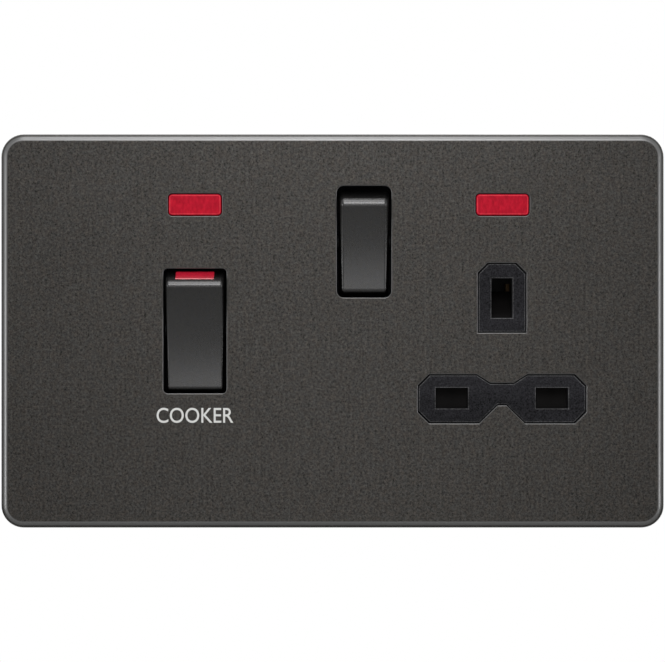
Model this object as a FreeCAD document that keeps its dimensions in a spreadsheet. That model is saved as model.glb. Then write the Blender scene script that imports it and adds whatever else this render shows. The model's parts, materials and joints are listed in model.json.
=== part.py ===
import FreeCAD, Part
import math
import os

import Sketcher

# Cooker control unit: a 45 A double pole cooker switch beside a 13 A switched socket.
# Millimetres. The origin is the centre of the face that meets the wall.
# +X is to the right and +Z is up as the user sees the plate, and -Y points out of the wall.

VECTOR = FreeCAD.Vector
X_AXIS = VECTOR(1, 0, 0)
Z_AXIS = VECTOR(0, 0, 1)
QUARTER_TURN = 90
TOLERANCE = 0.01

document = FreeCAD.newDocument("CookerControlUnit")
sheet = document.addObject("Spreadsheet::Sheet", "Sizes")
pieces = {}


class Size:
    """A number of the sheet, or one worked out from such numbers, with its formula."""

    def __init__(self, number, formula):
        self.number = float(number)
        self.formula = formula

    def __add__(self, other):
        return joined(self, "+", other)

    def __radd__(self, other):
        return joined(other, "+", self)

    def __sub__(self, other):
        return joined(self, "-", other)

    def __rsub__(self, other):
        return joined(other, "-", self)

    def __mul__(self, other):
        return joined(self, "*", other)

    def __rmul__(self, other):
        return joined(other, "*", self)

    def __truediv__(self, other):
        return joined(self, "/", other)

    def __neg__(self):
        return joined(0, "-", self)


def sine(angle):
    return Size(math.sin(math.radians(angle.number)), f"sin({angle.formula})")


def cosine(angle):
    return Size(math.cos(math.radians(angle.number)), f"cos({angle.formula})")


def as_size(value):
    """A plain number is taken as a size whose formula is the number itself."""
    if isinstance(value, Size):
        return value
    return Size(value, f"({value})" if value < 0 else f"{value}")


def joined(left, sign, right):
    left = as_size(left)
    right = as_size(right)
    answers = {
        "+": lambda a, b: a + b,
        "-": lambda a, b: a - b,
        "*": lambda a, b: a * b,
        "/": lambda a, b: a / b,
    }
    number = answers[sign](left.number, right.number)
    return Size(number, f"({left.formula} {sign} {right.formula})")


def size(name, number, meaning):
    """Writes one driving dimension into the sheet and gives it back as a Size."""
    size.row += 1
    sheet.set(f"A{size.row}", meaning)
    sheet.set(f"B{size.row}", str(number))
    sheet.setAlias(f"B{size.row}", name)
    return Size(number, f"Sizes.{name}")


size.row = 0

# Front plate
plate_width = size("plate_width", 147.2, "front plate, left to right")
plate_height = size("plate_height", 87.4, "front plate, bottom to top")
plate_corner = size("plate_corner", 5.0, "corner radius of the front plate")
plate_depth = size("plate_depth", 5.0, "front of the plate to the wall")
plate_gauge = size("plate_gauge", 1.0, "thickness of the pressed metal")
plate_edge = size("plate_edge", 1.6, "outer radius of the pressed edge")
rim_gap = size("rim_gap", 0.6, "shadow gap between the plate's rim and the wall")
prise_width = size("prise_width", 9.0, "notch in the lower rim where the plate is prised off")
prise_rise = size("prise_rise", 1.4, "depth of that notch")
tab_width = size("tab_width", 8.0, "snap tabs inside the rim")
tab_reach = size("tab_reach", 0.6, "how far a snap tab stands in")
tab_thick = size("tab_thick", 0.8, "thickness of a snap tab")
tab_spacing = size("tab_spacing", 45.0, "snap tabs left and right of the middle")
opening_round = size("opening_round", 0.2, "rounded front edge of each opening in the plate")

# Front moulding
moulding_fit = size("moulding_fit", 0.2, "play between the plate and the moulding in it")
skin = size("skin", 2.0, "thickness of the moulding's face")
rim_wall = size("rim_wall", 2.5, "thickness of the moulding's rim")
rim_bevel = size("rim_bevel", 0.8, "bevel of the moulding's front edge inside the plate")
well_wall = size("well_wall", 1.2, "wall round a rocker's well")
well_depth = size("well_depth", 8.5, "length of a rocker's well behind the moulding's face")
well_clear = size("well_clear", 0.3, "play between a well and the base moulding")
fixing_spacing = size("fixing_spacing", 120.6, "centres of the two wall fixing screws")
fixing_hole = size("fixing_hole", 2.1, "radius of a fixing hole")
fixing_head = size("fixing_head", 4.0, "radius of the countersink")
fixing_boss = size("fixing_boss", 5.0, "radius of the boss round a fixing hole")
sink_angle = size("sink_angle", 45.0, "slope of a countersink")
stiffener_width = size("stiffener_width", 1.2, "short ribs between the base moulding and the rim")
stiffener_back = size("stiffener_back", 0.6, "rear edge of those ribs in front of the wall")
stiffener_inner = size("stiffener_inner", 16.0, "first of those ribs from the middle")
stiffener_outer = size("stiffener_outer", 60.0, "last of those ribs from the middle")
floor_gauge = size("floor_gauge", 1.0, "floor of a rocker's well")
floor_edge = size("floor_edge", 1.2, "width of that floor along the well's sides")
floor_window = size("floor_window", 12.0, "height of the window in it for the plunger guides")
assembly_blind = size("assembly_blind", 1.0, "solid end of a front column's bore")
tab_play = size("tab_play", 0.2, "play round a snap tab")
rail_gauge = size("rail_gauge", 1.2, "rails each side of the stem")
rail_height = size("rail_height", 6.0, "height of the rails")
rail_clear = size("rail_clear", 1.0, "shutter to the lower end of its rails")
hook_gauge = size("hook_gauge", 0.8, "hooks of the rails behind the stem")
earth_window_width = size("earth_window_width", 5.0, "window for that spring")
earth_window_height = size("earth_window_height", 4.4, "window for that spring")

# Rocker openings and neon windows
cooker_x = size("cooker_x", -30.5, "cooker switch, middle of the plate to its middle")
cooker_hole_width = size("cooker_hole_width", 14.0, "opening for the cooker rocker")
cooker_hole_height = size("cooker_hole_height", 27.7, "opening for the cooker rocker")
cooker_hole_corner = size("cooker_hole_corner", 1.0, "corner radius of that opening")
switch_x = size("switch_x", 7.0, "socket switch, middle of the plate to its middle")
switch_inset = size("switch_inset", 14.2, "middle of the socket switch below the base moulding's top")
switch_hole_width = size("switch_hole_width", 12.1, "opening for the socket rocker")
switch_hole_height = size("switch_hole_height", 24.8, "opening for the socket rocker")
switch_hole_corner = size("switch_hole_corner", 1.6, "corner radius of that opening")
neon_inset = size("neon_inset", 6.0, "middle of the neon windows below the base moulding's top")
neon_right = size("neon_right", 37.7, "right neon window from the middle of the plate")
neon_width = size("neon_width", 12.0, "neon window")
neon_height = size("neon_height", 5.0, "neon window")
neon_corner = size("neon_corner", 1.0, "corner radius of a neon window")

# Socket face
socket_x = size("socket_x", 37.6, "middle of the socket from the middle of the plate")
socket_z = size("socket_z", -14.9, "line and neutral pins from the middle of the plate")
pin_spread = size("pin_spread", 22.2, "line pin to neutral pin")
pin_rise = size("pin_rise", 22.2, "line and neutral pins up to the earth pin")
slot_width = size("slot_width", 7.2, "line and neutral slots")
slot_height = size("slot_height", 4.6, "line and neutral slots")
earth_slot_width = size("earth_slot_width", 4.7, "earth slot")
earth_slot_height = size("earth_slot_height", 8.8, "earth slot")
island_drop = size("island_drop", 0.3, "socket islands below the plate's front")
island_gap = size("island_gap", 0.25, "gap between an island and the plate")
island_round = size("island_round", 0.25, "rounding of an island's edge and of its slots")
house_width = size("house_width", 10.8, "earth island's opening")
house_above = size("house_above", 7.8, "earth island's opening above the earth pin")
house_below = size("house_below", 7.7, "earth island's opening below the earth pin")
house_cut = size("house_cut", 2.2, "cut corners at the top of the earth island")
bone_width = size("bone_width", 37.4, "lower island's opening")
bone_above = size("bone_above", 5.3, "lower island's opening above the pins")
bone_below = size("bone_below", 5.6, "lower island's opening below the pins")
bone_cut = size("bone_cut", 2.5, "cut corners of the lower island")
upper_dip = size("upper_dip", 1.9, "depth of the hollow in the upper edge")
upper_dip_floor = size("upper_dip_floor", 5.2, "width of that hollow at its floor")
upper_dip_mouth = size("upper_dip_mouth", 11.2, "width of that hollow at its mouth")
lower_dip = size("lower_dip", 4.0, "depth of the hollow in the lower edge")
lower_dip_floor = size("lower_dip_floor", 2.0, "width of that hollow at its floor")
lower_dip_mouth = size("lower_dip_mouth", 10.2, "width of that hollow at its mouth")
block_thick = size("block_thick", 1.4, "extra thickness behind the slots")

# Rockers, in a frame at the rocker's own axle: forward is out of the wall
axle_depth = size("axle_depth", 2.0, "rocker axles behind the face that meets the wall")
axle_radius = size("axle_radius", 1.55, "radius of a rocker's axle stubs")
axle_fit = size("axle_fit", 0.05, "running fit round an axle stub")
cap_gauge = size("cap_gauge", 0.8, "thickness of a rocker's metal cap")
cap_bond = size("cap_bond", 0.05, "bond line between a cap and its dolly")
dolly_wall = size("dolly_wall", 1.2, "wall of the dolly under the cap")
side_draft = size("side_draft", 0.35, "how far each side of a cap leans in towards its front")
rocker_angle = size("rocker_angle", 10.0, "a rocker's angle from level, either way")
cooker_cap_width = size("cooker_cap_width", 13.2, "cooker cap at its rear edge")
cooker_ridge = size("cooker_ridge", 8.0, "cooker ridge forward of the axle")
cooker_ridge_reach = size("cooker_ridge_reach", 12.2, "cooker ridge above or below the axle")
cooker_foot = size("cooker_foot", 3.2, "rear edge of the cooker cap forward of the axle")
cooker_foot_reach = size("cooker_foot_reach", 14.0, "that edge above or below the axle")
cooker_sag = size("cooker_sag", 1.1, "hollow of the cooker cap's face")
cooker_round = size("cooker_round", 1.4, "rounding of the cooker cap's two ridges")
cooker_side = size("cooker_side", 0.6, "rounding of the cooker cap's long edges")
cooker_well = size("cooker_well", 29.8, "height of the cooker rocker's well inside")
switch_cap_width = size("switch_cap_width", 11.2, "socket cap at its rear edge")
switch_ridge = size("switch_ridge", 7.7, "socket ridge forward of the axle")
switch_ridge_reach = size("switch_ridge_reach", 10.4, "socket ridge above or below the axle")
switch_foot = size("switch_foot", 3.8, "rear edge of the socket cap forward of the axle")
switch_foot_reach = size("switch_foot_reach", 12.0, "that edge above or below the axle")
switch_sag = size("switch_sag", 0.8, "hollow of the socket cap's face")
switch_round = size("switch_round", 1.6, "rounding of the socket cap's two ridges")
switch_side = size("switch_side", 0.9, "rounding of the socket cap's long edges")
switch_well = size("switch_well", 26.0, "height of the socket rocker's well inside")
flag_width = size("flag_width", 8.5, "red flag in the top of the cooker cap")
flag_height = size("flag_height", 2.9, "red flag along the end face")
flag_inset = size("flag_inset", 0.4, "red flag from the rear edge of the cap")
flag_sunk = size("flag_sunk", 0.5, "depth of the flag's recess")
flag_proud = size("flag_proud", 0.15, "red flag above the metal round it")
flag_round = size("flag_round", 0.5, "rounding of the flag's front edge")
pole_offset = size("pole_offset", 3.5, "each cooker pole from the rocker's middle")
guide_radius = size("guide_radius", 1.8, "plunger guide under a dolly")
guide_bore = size("guide_bore", 1.2, "bore of a plunger guide")
guide_reach = size("guide_reach", 8.0, "end of a plunger guide behind the axle")
guide_heel = size("guide_heel", 2.6, "rear edge of a dolly's cheeks behind the axle")
cheek_reach = size("cheek_reach", 3.2, "half the height of that rear edge")
plunger_radius = size("plunger_radius", 1.1, "contact plunger")
plunger_reach = size("plunger_reach", 14.0, "tip of a plunger behind the axle")
plunger_root = size("plunger_root", 4.0, "spring end of a plunger behind the axle")
spring_top = size("spring_top", 4.4, "far end of a plunger's spring forward of the axle")
spring_wire = size("spring_wire", 0.3, "wire of a plunger's spring")
spring_pitch = size("spring_pitch", 1.56, "pitch of a plunger's spring")

# Switch contacts
bar_width = size("bar_width", 4.2, "see-saw contact bar")
bar_gauge = size("bar_gauge", 1.2, "thickness of a contact bar")
bar_dish = size("bar_dish", 0.79, "how far the ends of a bar stand forward of its middle")
bar_angle = size("bar_angle", 6.0, "tilt of a contact bar from level, either way")
bar_play = size("bar_play", 0.15, "plunger tip to a level bar")
cooker_bar_reach = size("cooker_bar_reach", 10.0, "half the length of a cooker contact bar")
switch_bar_reach = size("switch_bar_reach", 8.5, "half the length of the socket switch's bar")
rivet_radius = size("rivet_radius", 1.3, "contact rivet")
rivet_inset = size("rivet_inset", 1.8, "contact rivet from the end of its bar")
rivet_height = size("rivet_height", 0.5, "contact rivet above its bar")
rivet_gap = size("rivet_gap", 0.08, "moving rivet to the fixed one when on")
fulcrum_play = size("fulcrum_play", 0.05, "contact bar to the edge that it rocks on")
fulcrum_edge = size("fulcrum_edge", 0.8, "width of that edge")
fulcrum_foot = size("fulcrum_foot", 6.0, "height of a fulcrum at its foot")
ear_gauge = size("ear_gauge", 0.6, "ears each side of a contact bar")
ear_play = size("ear_play", 0.1, "contact bar to an ear")
ear_height = size("ear_height", 2.4, "height of an ear")
ear_lead = size("ear_lead", 1.8, "how far an ear reaches forward of the fulcrum's edge")

# Conductors and terminals
strip_gauge = size("strip_gauge", 1.0, "thickness of the brass strips")
strip_front = size("strip_front", 18.6, "front of the fixed contact strips")
feed_front = size("feed_front", 21.5, "front of the feed bars")
earth_front = size("earth_front", 14.0, "front of the earth strap")
terminal_width = size("terminal_width", 9.5, "brass terminal block, left to right")
terminal_depth = size("terminal_depth", 10.0, "brass terminal block, front to rear")
terminal_height = size("terminal_height", 10.0, "brass terminal block along its bore")
terminal_bore = size("terminal_bore", 3.2, "radius of the cable bore")
terminal_edge = size("terminal_edge", 0.5, "bevel of a terminal block")
terminal_bore_depth = size("terminal_bore_depth", 14.8, "axis of the cable bores behind the wall face")
screw_radius = size("screw_radius", 2.5, "terminal screw's thread")
screw_head = size("screw_head", 3.6, "terminal screw's head")
screw_head_height = size("screw_head_height", 2.2, "terminal screw's head")
screw_slot = size("screw_slot", 0.9, "slot in a terminal screw")
screw_back = size("screw_back", 0.3, "tip of an open terminal screw behind the cable bore")
screw_seat = size("screw_seat", 0.6, "thread that shows between a terminal and its screw's head")
line_out_x = size("line_out_x", -40.5, "line terminals")
neutral_out_x = size("neutral_out_x", -20.5, "neutral terminals")
earth_first_x = size("earth_first_x", -2.0, "first earth terminal")
earth_second_x = size("earth_second_x", 12.0, "second earth terminal")
track_width = size("track_width", 4.0, "width of the feed bars and straps")
foot_overlap = size("foot_overlap", 4.0, "half the width of a strip's foot on its terminal")
foot_depth = size("foot_depth", 7.0, "how far a strip's foot lies over its terminal")
terminal_overhang = size("terminal_overhang", 9.5, "feed bars' feet forward over the terminals")
run_drop = size("run_drop", 13.0, "line feed bar's long run below the upper terminals")
neutral_rise = size("neutral_rise", 8.0, "neutral feed bar's long run above the lower terminals")
earth_level = size("earth_level", 0.0, "height of the earth strap's long run")
earth_riser = size("earth_riser", 3.0, "earth strap's riser from the second earth terminal")
drop_x = size("drop_x", 20.5, "place of the socket's line strip between switch and contact")
earth_leaf_x = size("earth_leaf_x", 24.0, "spring that earths the plate")
earth_leaf_z = size("earth_leaf_z", 1.2, "middle of that spring's window")
leaf_spring_gauge = size("leaf_spring_gauge", 0.6, "thickness of the spring that earths the plate")
leaf_spring_hook = size("leaf_spring_hook", 2.6, "height of its hooked end")

# Base moulding
base_width = size("base_width", 114.0, "base moulding, left to right")
base_margin = size("base_margin", 9.7, "base moulding's top and bottom inside the plate's")
base_wall = size("base_wall", 2.0, "walls of the base moulding")
base_back = size("base_back", 26.0, "rear of the base moulding behind the wall face")
base_corner = size("base_corner", 3.0, "corner radius of the base moulding")
base_bevel = size("base_bevel", 0.8, "bevel round the rear of the base moulding")
lug_relief = size("lug_relief", 3.5, "recess in each side that clears the wall box's lug")
lug_height = size("lug_height", 14.0, "height of that recess")
cable_window = size("cable_window", 7.2, "cable windows beside the terminals")
access_radius = size("access_radius", 4.0, "hole that a terminal screw is turned through")
access_outer = size("access_outer", 4.8, "sleeve round that hole")
rib_gauge = size("rib_gauge", 1.0, "ribs that hold the terminals")
rib_play = size("rib_play", 0.1, "terminal to its ribs")
column_inset = size("column_inset", 5.2, "assembly screws from the base moulding's sides")
column_radius = size("column_radius", 3.2, "columns round the assembly screws")
column_joint = size("column_joint", 8.0, "depth at which front and rear columns meet")
assembly_radius = size("assembly_radius", 1.5, "assembly screw")
assembly_head = size("assembly_head", 2.7, "head of an assembly screw")
assembly_head_height = size("assembly_head_height", 1.8, "head of an assembly screw")
assembly_sink = size("assembly_sink", 2.4, "recess for that head")
thread_play = size("thread_play", 0.05, "play round a screw in its hole")

# Socket contacts and shutter
pin_thick = size("pin_thick", 3.97, "thickness of a plug's pins")
contact_squeeze = size("contact_squeeze", 0.4, "how much narrower an empty contact is")
leaf_gauge = size("leaf_gauge", 0.8, "leaves of the socket contacts")
leaf_width = size("leaf_width", 6.0, "width of a line or neutral contact")
leaf_front = size("leaf_front", 7.0, "front of the line and neutral contacts")
leaf_mouth = size("leaf_mouth", 2.5, "length of a contact's flared mouth")
leaf_flare = size("leaf_flare", 1.0, "how far each lip of the mouth stands out")
earth_leaf_front = size("earth_leaf_front", 9.5, "front of the earth contact")
earth_leaf_rear = size("earth_leaf_rear", 15.0, "rear of the earth contact")
earth_leaf_top = size("earth_leaf_top", 3.4, "top of the earth contact above the pin's middle")
earth_pin_half = size("earth_pin_half", 4.3, "earth contact's web below the pin's middle")
shutter_gap = size("shutter_gap", 0.2, "sliding play round the shutter")
shutter_gauge = size("shutter_gauge", 1.6, "thickness of the shutter")
shutter_width = size("shutter_width", 33.0, "shutter, left to right")
shutter_above = size("shutter_above", 3.4, "shutter above the line and neutral pins")
shutter_below = size("shutter_below", 3.2, "shutter below the line and neutral pins")
shutter_lug = size("shutter_lug", 1.8, "lug of the shutter over its spring")
stem_width = size("stem_width", 5.0, "shutter's stem")
ramp_top = size("ramp_top", 1.6, "top of the shutter's ramp above the earth pin's middle")
ramp_reach = size("ramp_reach", 5.3, "depth and height of the ramp")
shutter_spring_radius = size("shutter_spring_radius", 1.4, "shutter spring, middle of the wire")
shutter_spring_wire = size("shutter_spring_wire", 0.45, "shutter spring's wire")
shutter_spring_pitch = size("shutter_spring_pitch", 1.5, "pitch of the shutter spring")

# Neon indicators
lens_play = size("lens_play", 0.15, "neon lens to its window, each side")
lens_proud = size("lens_proud", 0.2, "neon lens in front of the plate")
lens_round = size("lens_round", 0.45, "rounding of a lens's front edge")
flange_margin = size("flange_margin", 1.0, "flange of a lens beyond its window")
flange_gauge = size("flange_gauge", 1.2, "flange of a lens")
holder_width = size("holder_width", 16.0, "neon holder")
holder_height = size("holder_height", 7.2, "neon holder")
holder_depth = size("holder_depth", 8.0, "neon holder behind its lens")
holder_wall = size("holder_wall", 0.8, "walls of the neon holder")
lamp_radius = size("lamp_radius", 2.2, "neon lamp")
resistor_radius = size("resistor_radius", 0.9, "resistor of a neon lamp")
resistor_length = size("resistor_length", 6.0, "resistor of a neon lamp")

# Construction
cut_margin = size("cut_margin", 1.0, "how far a cut runs past what it cuts")

# Places that follow from the sizes
middle = as_size(0)
plate_front = -plate_depth
plate_back = plate_front + plate_gauge
skin_back = plate_back + skin
block_back = skin_back + block_thick
island_face = plate_front + island_drop
base_height = plate_height - 2 * base_margin
base_floor = base_back - base_wall
column_x = base_width / 2 - column_inset
column_z = base_height / 2 - column_inset
neon_z = base_height / 2 - neon_inset
switch_z = base_height / 2 - switch_inset
line_x = socket_x - pin_spread / 2
neutral_x = socket_x + pin_spread / 2
earth_z = socket_z + pin_rise
line_pole = cooker_x - pole_offset
neutral_pole = cooker_x + pole_offset
terminal_front = terminal_bore_depth - terminal_depth / 2
terminal_rear = terminal_front + terminal_depth
terminal_level = base_height / 2 - base_wall - terminal_height / 2
run_level = terminal_level - run_drop
neutral_level = neutral_rise - terminal_level
shutter_front = block_back + shutter_gap
shutter_back = shutter_front + shutter_gauge
hinge_depth = axle_depth + plunger_reach + bar_play + bar_gauge


# Drawing helpers
def bind(thing, place, value):
    """Ties one property to its formula."""
    thing.setExpression(place, as_size(value).formula)


def place(thing, x=0, y=0, z=0, turn=None, axis=X_AXIS):
    """Moves a piece to a point and, where a turn is given, turns it about an axis there."""
    if turn is not None:
        thing.Placement = FreeCAD.Placement(VECTOR(), FreeCAD.Rotation(axis, as_size(turn).number))
        bind(thing, ".Placement.Rotation.Angle", turn)
    bind(thing, ".Placement.Base.x", x)
    bind(thing, ".Placement.Base.y", y)
    bind(thing, ".Placement.Base.z", z)


def new_body(name):
    """A piece built up by sketches, listed for writing under its own name."""
    body = document.addObject("PartDesign::Body", name)
    body.Label = name
    pieces[name] = body
    return body


def new_sketch(body, role, level=0):
    """A sketch on one of the body's own planes, raised by a level along its normal."""
    plane = [item for item in body.Origin.OriginFeatures if item.Role == role][0]
    sketch = body.newObject("Sketcher::SketchObject", f"{body.Name}_sketch")
    sketch.AttachmentSupport = [(plane, "")]
    sketch.MapMode = "FlatFace"
    bind(sketch, ".AttachmentOffset.Base.z", level)
    return sketch


def hold_point(sketch, edge, end, point):
    """Ties a point of an edge to its two distances from the sketch's origin."""
    for kind, distance in zip(("DistanceX", "DistanceY"), point):
        distance = as_size(distance)
        number = sketch.addConstraint(Sketcher.Constraint(kind, -1, 1, edge, end, distance.number))
        bind(sketch, f"Constraints[{number}]", distance)


def flat_point(point):
    return VECTOR(as_size(point[0]).number, as_size(point[1]).number, 0)


def draw_outline(sketch, points):
    """A closed outline of straight edges through the points."""
    first = sketch.GeometryCount
    count = len(points)
    for number, point in enumerate(points):
        following = points[(number + 1) % count]
        sketch.addGeometry(Part.LineSegment(flat_point(point), flat_point(following)), False)
    for number, point in enumerate(points):
        edge = first + number
        after = first + (number + 1) % count
        sketch.addConstraint(Sketcher.Constraint("Coincident", edge, 2, after, 1))
        hold_point(sketch, edge, 1, point)


def draw_rectangle(sketch, x, z, width, height):
    left = x - width / 2
    right = x + width / 2
    low = z - height / 2
    high = z + height / 2
    draw_outline(sketch, [(left, low), (right, low), (right, high), (left, high)])


def draw_circle(sketch, x, z, radius):
    radius = as_size(radius)
    circle = Part.Circle(flat_point((x, z)), Z_AXIS, radius.number)
    edge = sketch.addGeometry(circle, False)
    hold_point(sketch, edge, 3, (x, z))
    number = sketch.addConstraint(Sketcher.Constraint("Radius", edge, radius.number))
    bind(sketch, f"Constraints[{number}]", radius)


def draw_rounded(sketch, x, z, width, height, radius):
    """A rectangle with rounded corners: four edges that run smoothly into four arcs."""
    radius = as_size(radius)
    reach_x = width / 2 - radius
    reach_z = height / 2 - radius
    corners = [(1, 1, 0), (-1, 1, 1), (-1, -1, 2), (1, -1, 3)]
    arcs = []
    for side_x, side_z, quarter in corners:
        centre = (x + side_x * reach_x, z + side_z * reach_z)
        start = math.radians(quarter * QUARTER_TURN)
        end = start + math.radians(QUARTER_TURN)
        circle = Part.Circle(flat_point(centre), Z_AXIS, radius.number)
        arc = sketch.addGeometry(Part.ArcOfCircle(circle, start, end), False)
        hold_point(sketch, arc, 3, centre)
        number = sketch.addConstraint(Sketcher.Constraint("Radius", arc, radius.number))
        bind(sketch, f"Constraints[{number}]", radius)
        arcs.append(arc)
    for number, arc in enumerate(arcs):
        after = arcs[(number + 1) % len(arcs)]
        start = sketch.getPoint(arc, 2)
        end = sketch.getPoint(after, 1)
        line = sketch.addGeometry(Part.LineSegment(start, end), False)
        sketch.addConstraint(Sketcher.Constraint("Tangent", arc, 2, line, 1))
        sketch.addConstraint(Sketcher.Constraint("Tangent", line, 2, after, 1))


def add_pad(body, sketch, length, backwards=False, symmetric=False):
    pad = body.newObject("PartDesign::Pad", f"{body.Name}_pad")
    pad.Profile = sketch
    pad.Reversed = backwards
    if symmetric:
        pad.SideType = "Symmetric"
    bind(pad, "Length", length)
    return pad


def add_pocket(body, sketch, length=None, backwards=False, symmetric=False):
    """A pocket of some depth, or through everything where no depth is given."""
    pocket = body.newObject("PartDesign::Pocket", f"{body.Name}_pocket")
    pocket.Profile = sketch
    pocket.Reversed = backwards
    if symmetric:
        pocket.SideType = "Symmetric"
    if length is None:
        pocket.Type = "ThroughAll"
    else:
        bind(pocket, "Length", length)
    return pocket


def edges_where(feature, wanted):
    """Names of the edges of a feature whose edge passes a test."""
    document.recompute()
    return [f"Edge{number}" for number, edge in enumerate(feature.Shape.Edges, 1) if wanted(edge)]


def add_edge_feature(body, kind, base, wanted, amount):
    """A fillet or a chamfer along the edges that pass a test."""
    names = edges_where(base, wanted)
    feature = body.newObject(f"PartDesign::{kind}", f"{body.Name}_{kind.lower()}")
    feature.Base = (base, names)
    bind(feature, "Radius" if kind == "Fillet" else "Size", amount)
    return feature


def at_depth(depth):
    """Test for edges that lie wholly at one Y."""
    def wanted(edge):
        box = edge.BoundBox
        return abs(box.YMin - depth.number) < TOLERANCE and abs(box.YMax - depth.number) < TOLERANCE

    return wanted


def four_places(x, z):
    """A place and its mirror images in the two middle planes."""
    return [(side * x, level * z) for side in (-1, 1) for level in (-1, 1)]


# Outlines of the two socket islands, a gap inside their openings in the plate
def house_points(gap):
    half = house_width / 2 - gap
    top = earth_z + house_above - gap
    low = earth_z - house_below + gap
    return [
        (socket_x - half, low),
        (socket_x + half, low),
        (socket_x + half, top - house_cut),
        (socket_x + half - house_cut, top),
        (socket_x - half + house_cut, top),
        (socket_x - half, top - house_cut),
    ]


def bone_points(gap):
    """Right half of the lower island from its lower edge up, then the left half mirrored."""
    half = bone_width / 2 - gap
    top = socket_z + bone_above - gap
    low = socket_z - bone_below + gap
    side = [
        (lower_dip_floor / 2, low + lower_dip),
        (lower_dip_mouth / 2, low),
        (half - bone_cut, low),
        (half, low + bone_cut),
        (half, top - bone_cut),
        (half - bone_cut, top),
        (upper_dip_mouth / 2, top),
        (upper_dip_floor / 2, top - upper_dip),
    ]
    right = [(socket_x + reach, level) for reach, level in side]
    left = [(socket_x - reach, level) for reach, level in reversed(side)]
    return right + left


# Front plate: one pressed sheet with a turned-back rim, cut-outs and snap tabs
def draw_round_openings(sketch):
    """The neon windows, which the plate and the moulding share."""
    for x in (cooker_x, neon_right):
        draw_rounded(sketch, x, neon_z, neon_width, neon_height, neon_corner)


def round_opening(edge):
    """Test for the front edges of the plate's openings, which all lie before the base moulding."""
    point = edge.BoundBox.Center
    inside = abs(point.x) < base_width.number / 2 and abs(point.z) < base_height.number / 2
    return inside and at_depth(plate_front)(edge)


def make_front_plate():
    body = new_body("front_plate")
    outer = new_sketch(body, "XZ_Plane", rim_gap)
    draw_rounded(outer, middle, middle, plate_width, plate_height, plate_corner)
    slab = add_pad(body, outer, plate_depth - rim_gap)
    add_edge_feature(body, "Fillet", slab, at_depth(plate_front), plate_edge)
    inner = new_sketch(body, "XZ_Plane", rim_gap)
    inside_width = plate_width - 2 * plate_gauge
    inside_height = plate_height - 2 * plate_gauge
    draw_rounded(inner, middle, middle, inside_width, inside_height, plate_corner - plate_gauge)
    hollow = add_pocket(body, inner, -plate_back - rim_gap, backwards=True)
    add_edge_feature(body, "Fillet", hollow, at_depth(plate_back), plate_edge - plate_gauge)
    cuts = new_sketch(body, "XZ_Plane", plate_depth)
    draw_round_openings(cuts)
    draw_rounded(cuts, cooker_x, middle, cooker_hole_width, cooker_hole_height, cooker_hole_corner)
    draw_rounded(cuts, switch_x, switch_z, switch_hole_width, switch_hole_height, switch_hole_corner)
    draw_outline(cuts, house_points(0))
    draw_outline(cuts, bone_points(0))
    pierced = add_pocket(body, cuts, plate_gauge + cut_margin)
    add_edge_feature(body, "Fillet", pierced, round_opening, opening_round)
    notch = new_sketch(body, "XZ_Plane", rim_gap)
    draw_rectangle(notch, middle, -plate_height / 2, prise_width, 2 * (plate_gauge + cut_margin))
    add_pocket(body, notch, prise_rise, backwards=True)
    tabs = new_sketch(body, "XZ_Plane", rim_gap)
    for x, z in four_places(tab_spacing, inside_height / 2 - tab_reach / 2):
        draw_rectangle(tabs, x, z, tab_width, tab_reach)
    add_pad(body, tabs, tab_thick)


# Front moulding: carries the islands, wells, columns and shutter rails
def add_well_floors(body):
    """A thin floor in each rocker's well, open only where the plunger guides swing."""
    sketch = new_sketch(body, "XZ_Plane", floor_gauge - skin_back - well_depth)
    for x, z, width, height in (
        (cooker_x, middle, cooker_hole_width, cooker_well),
        (switch_x, switch_z, switch_hole_width, switch_well),
    ):
        draw_rectangle(sketch, x, z, width, height)
        draw_rectangle(sketch, x, z, width - 2 * floor_edge, floor_window)
    add_pad(body, sketch, floor_gauge, backwards=True)


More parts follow.
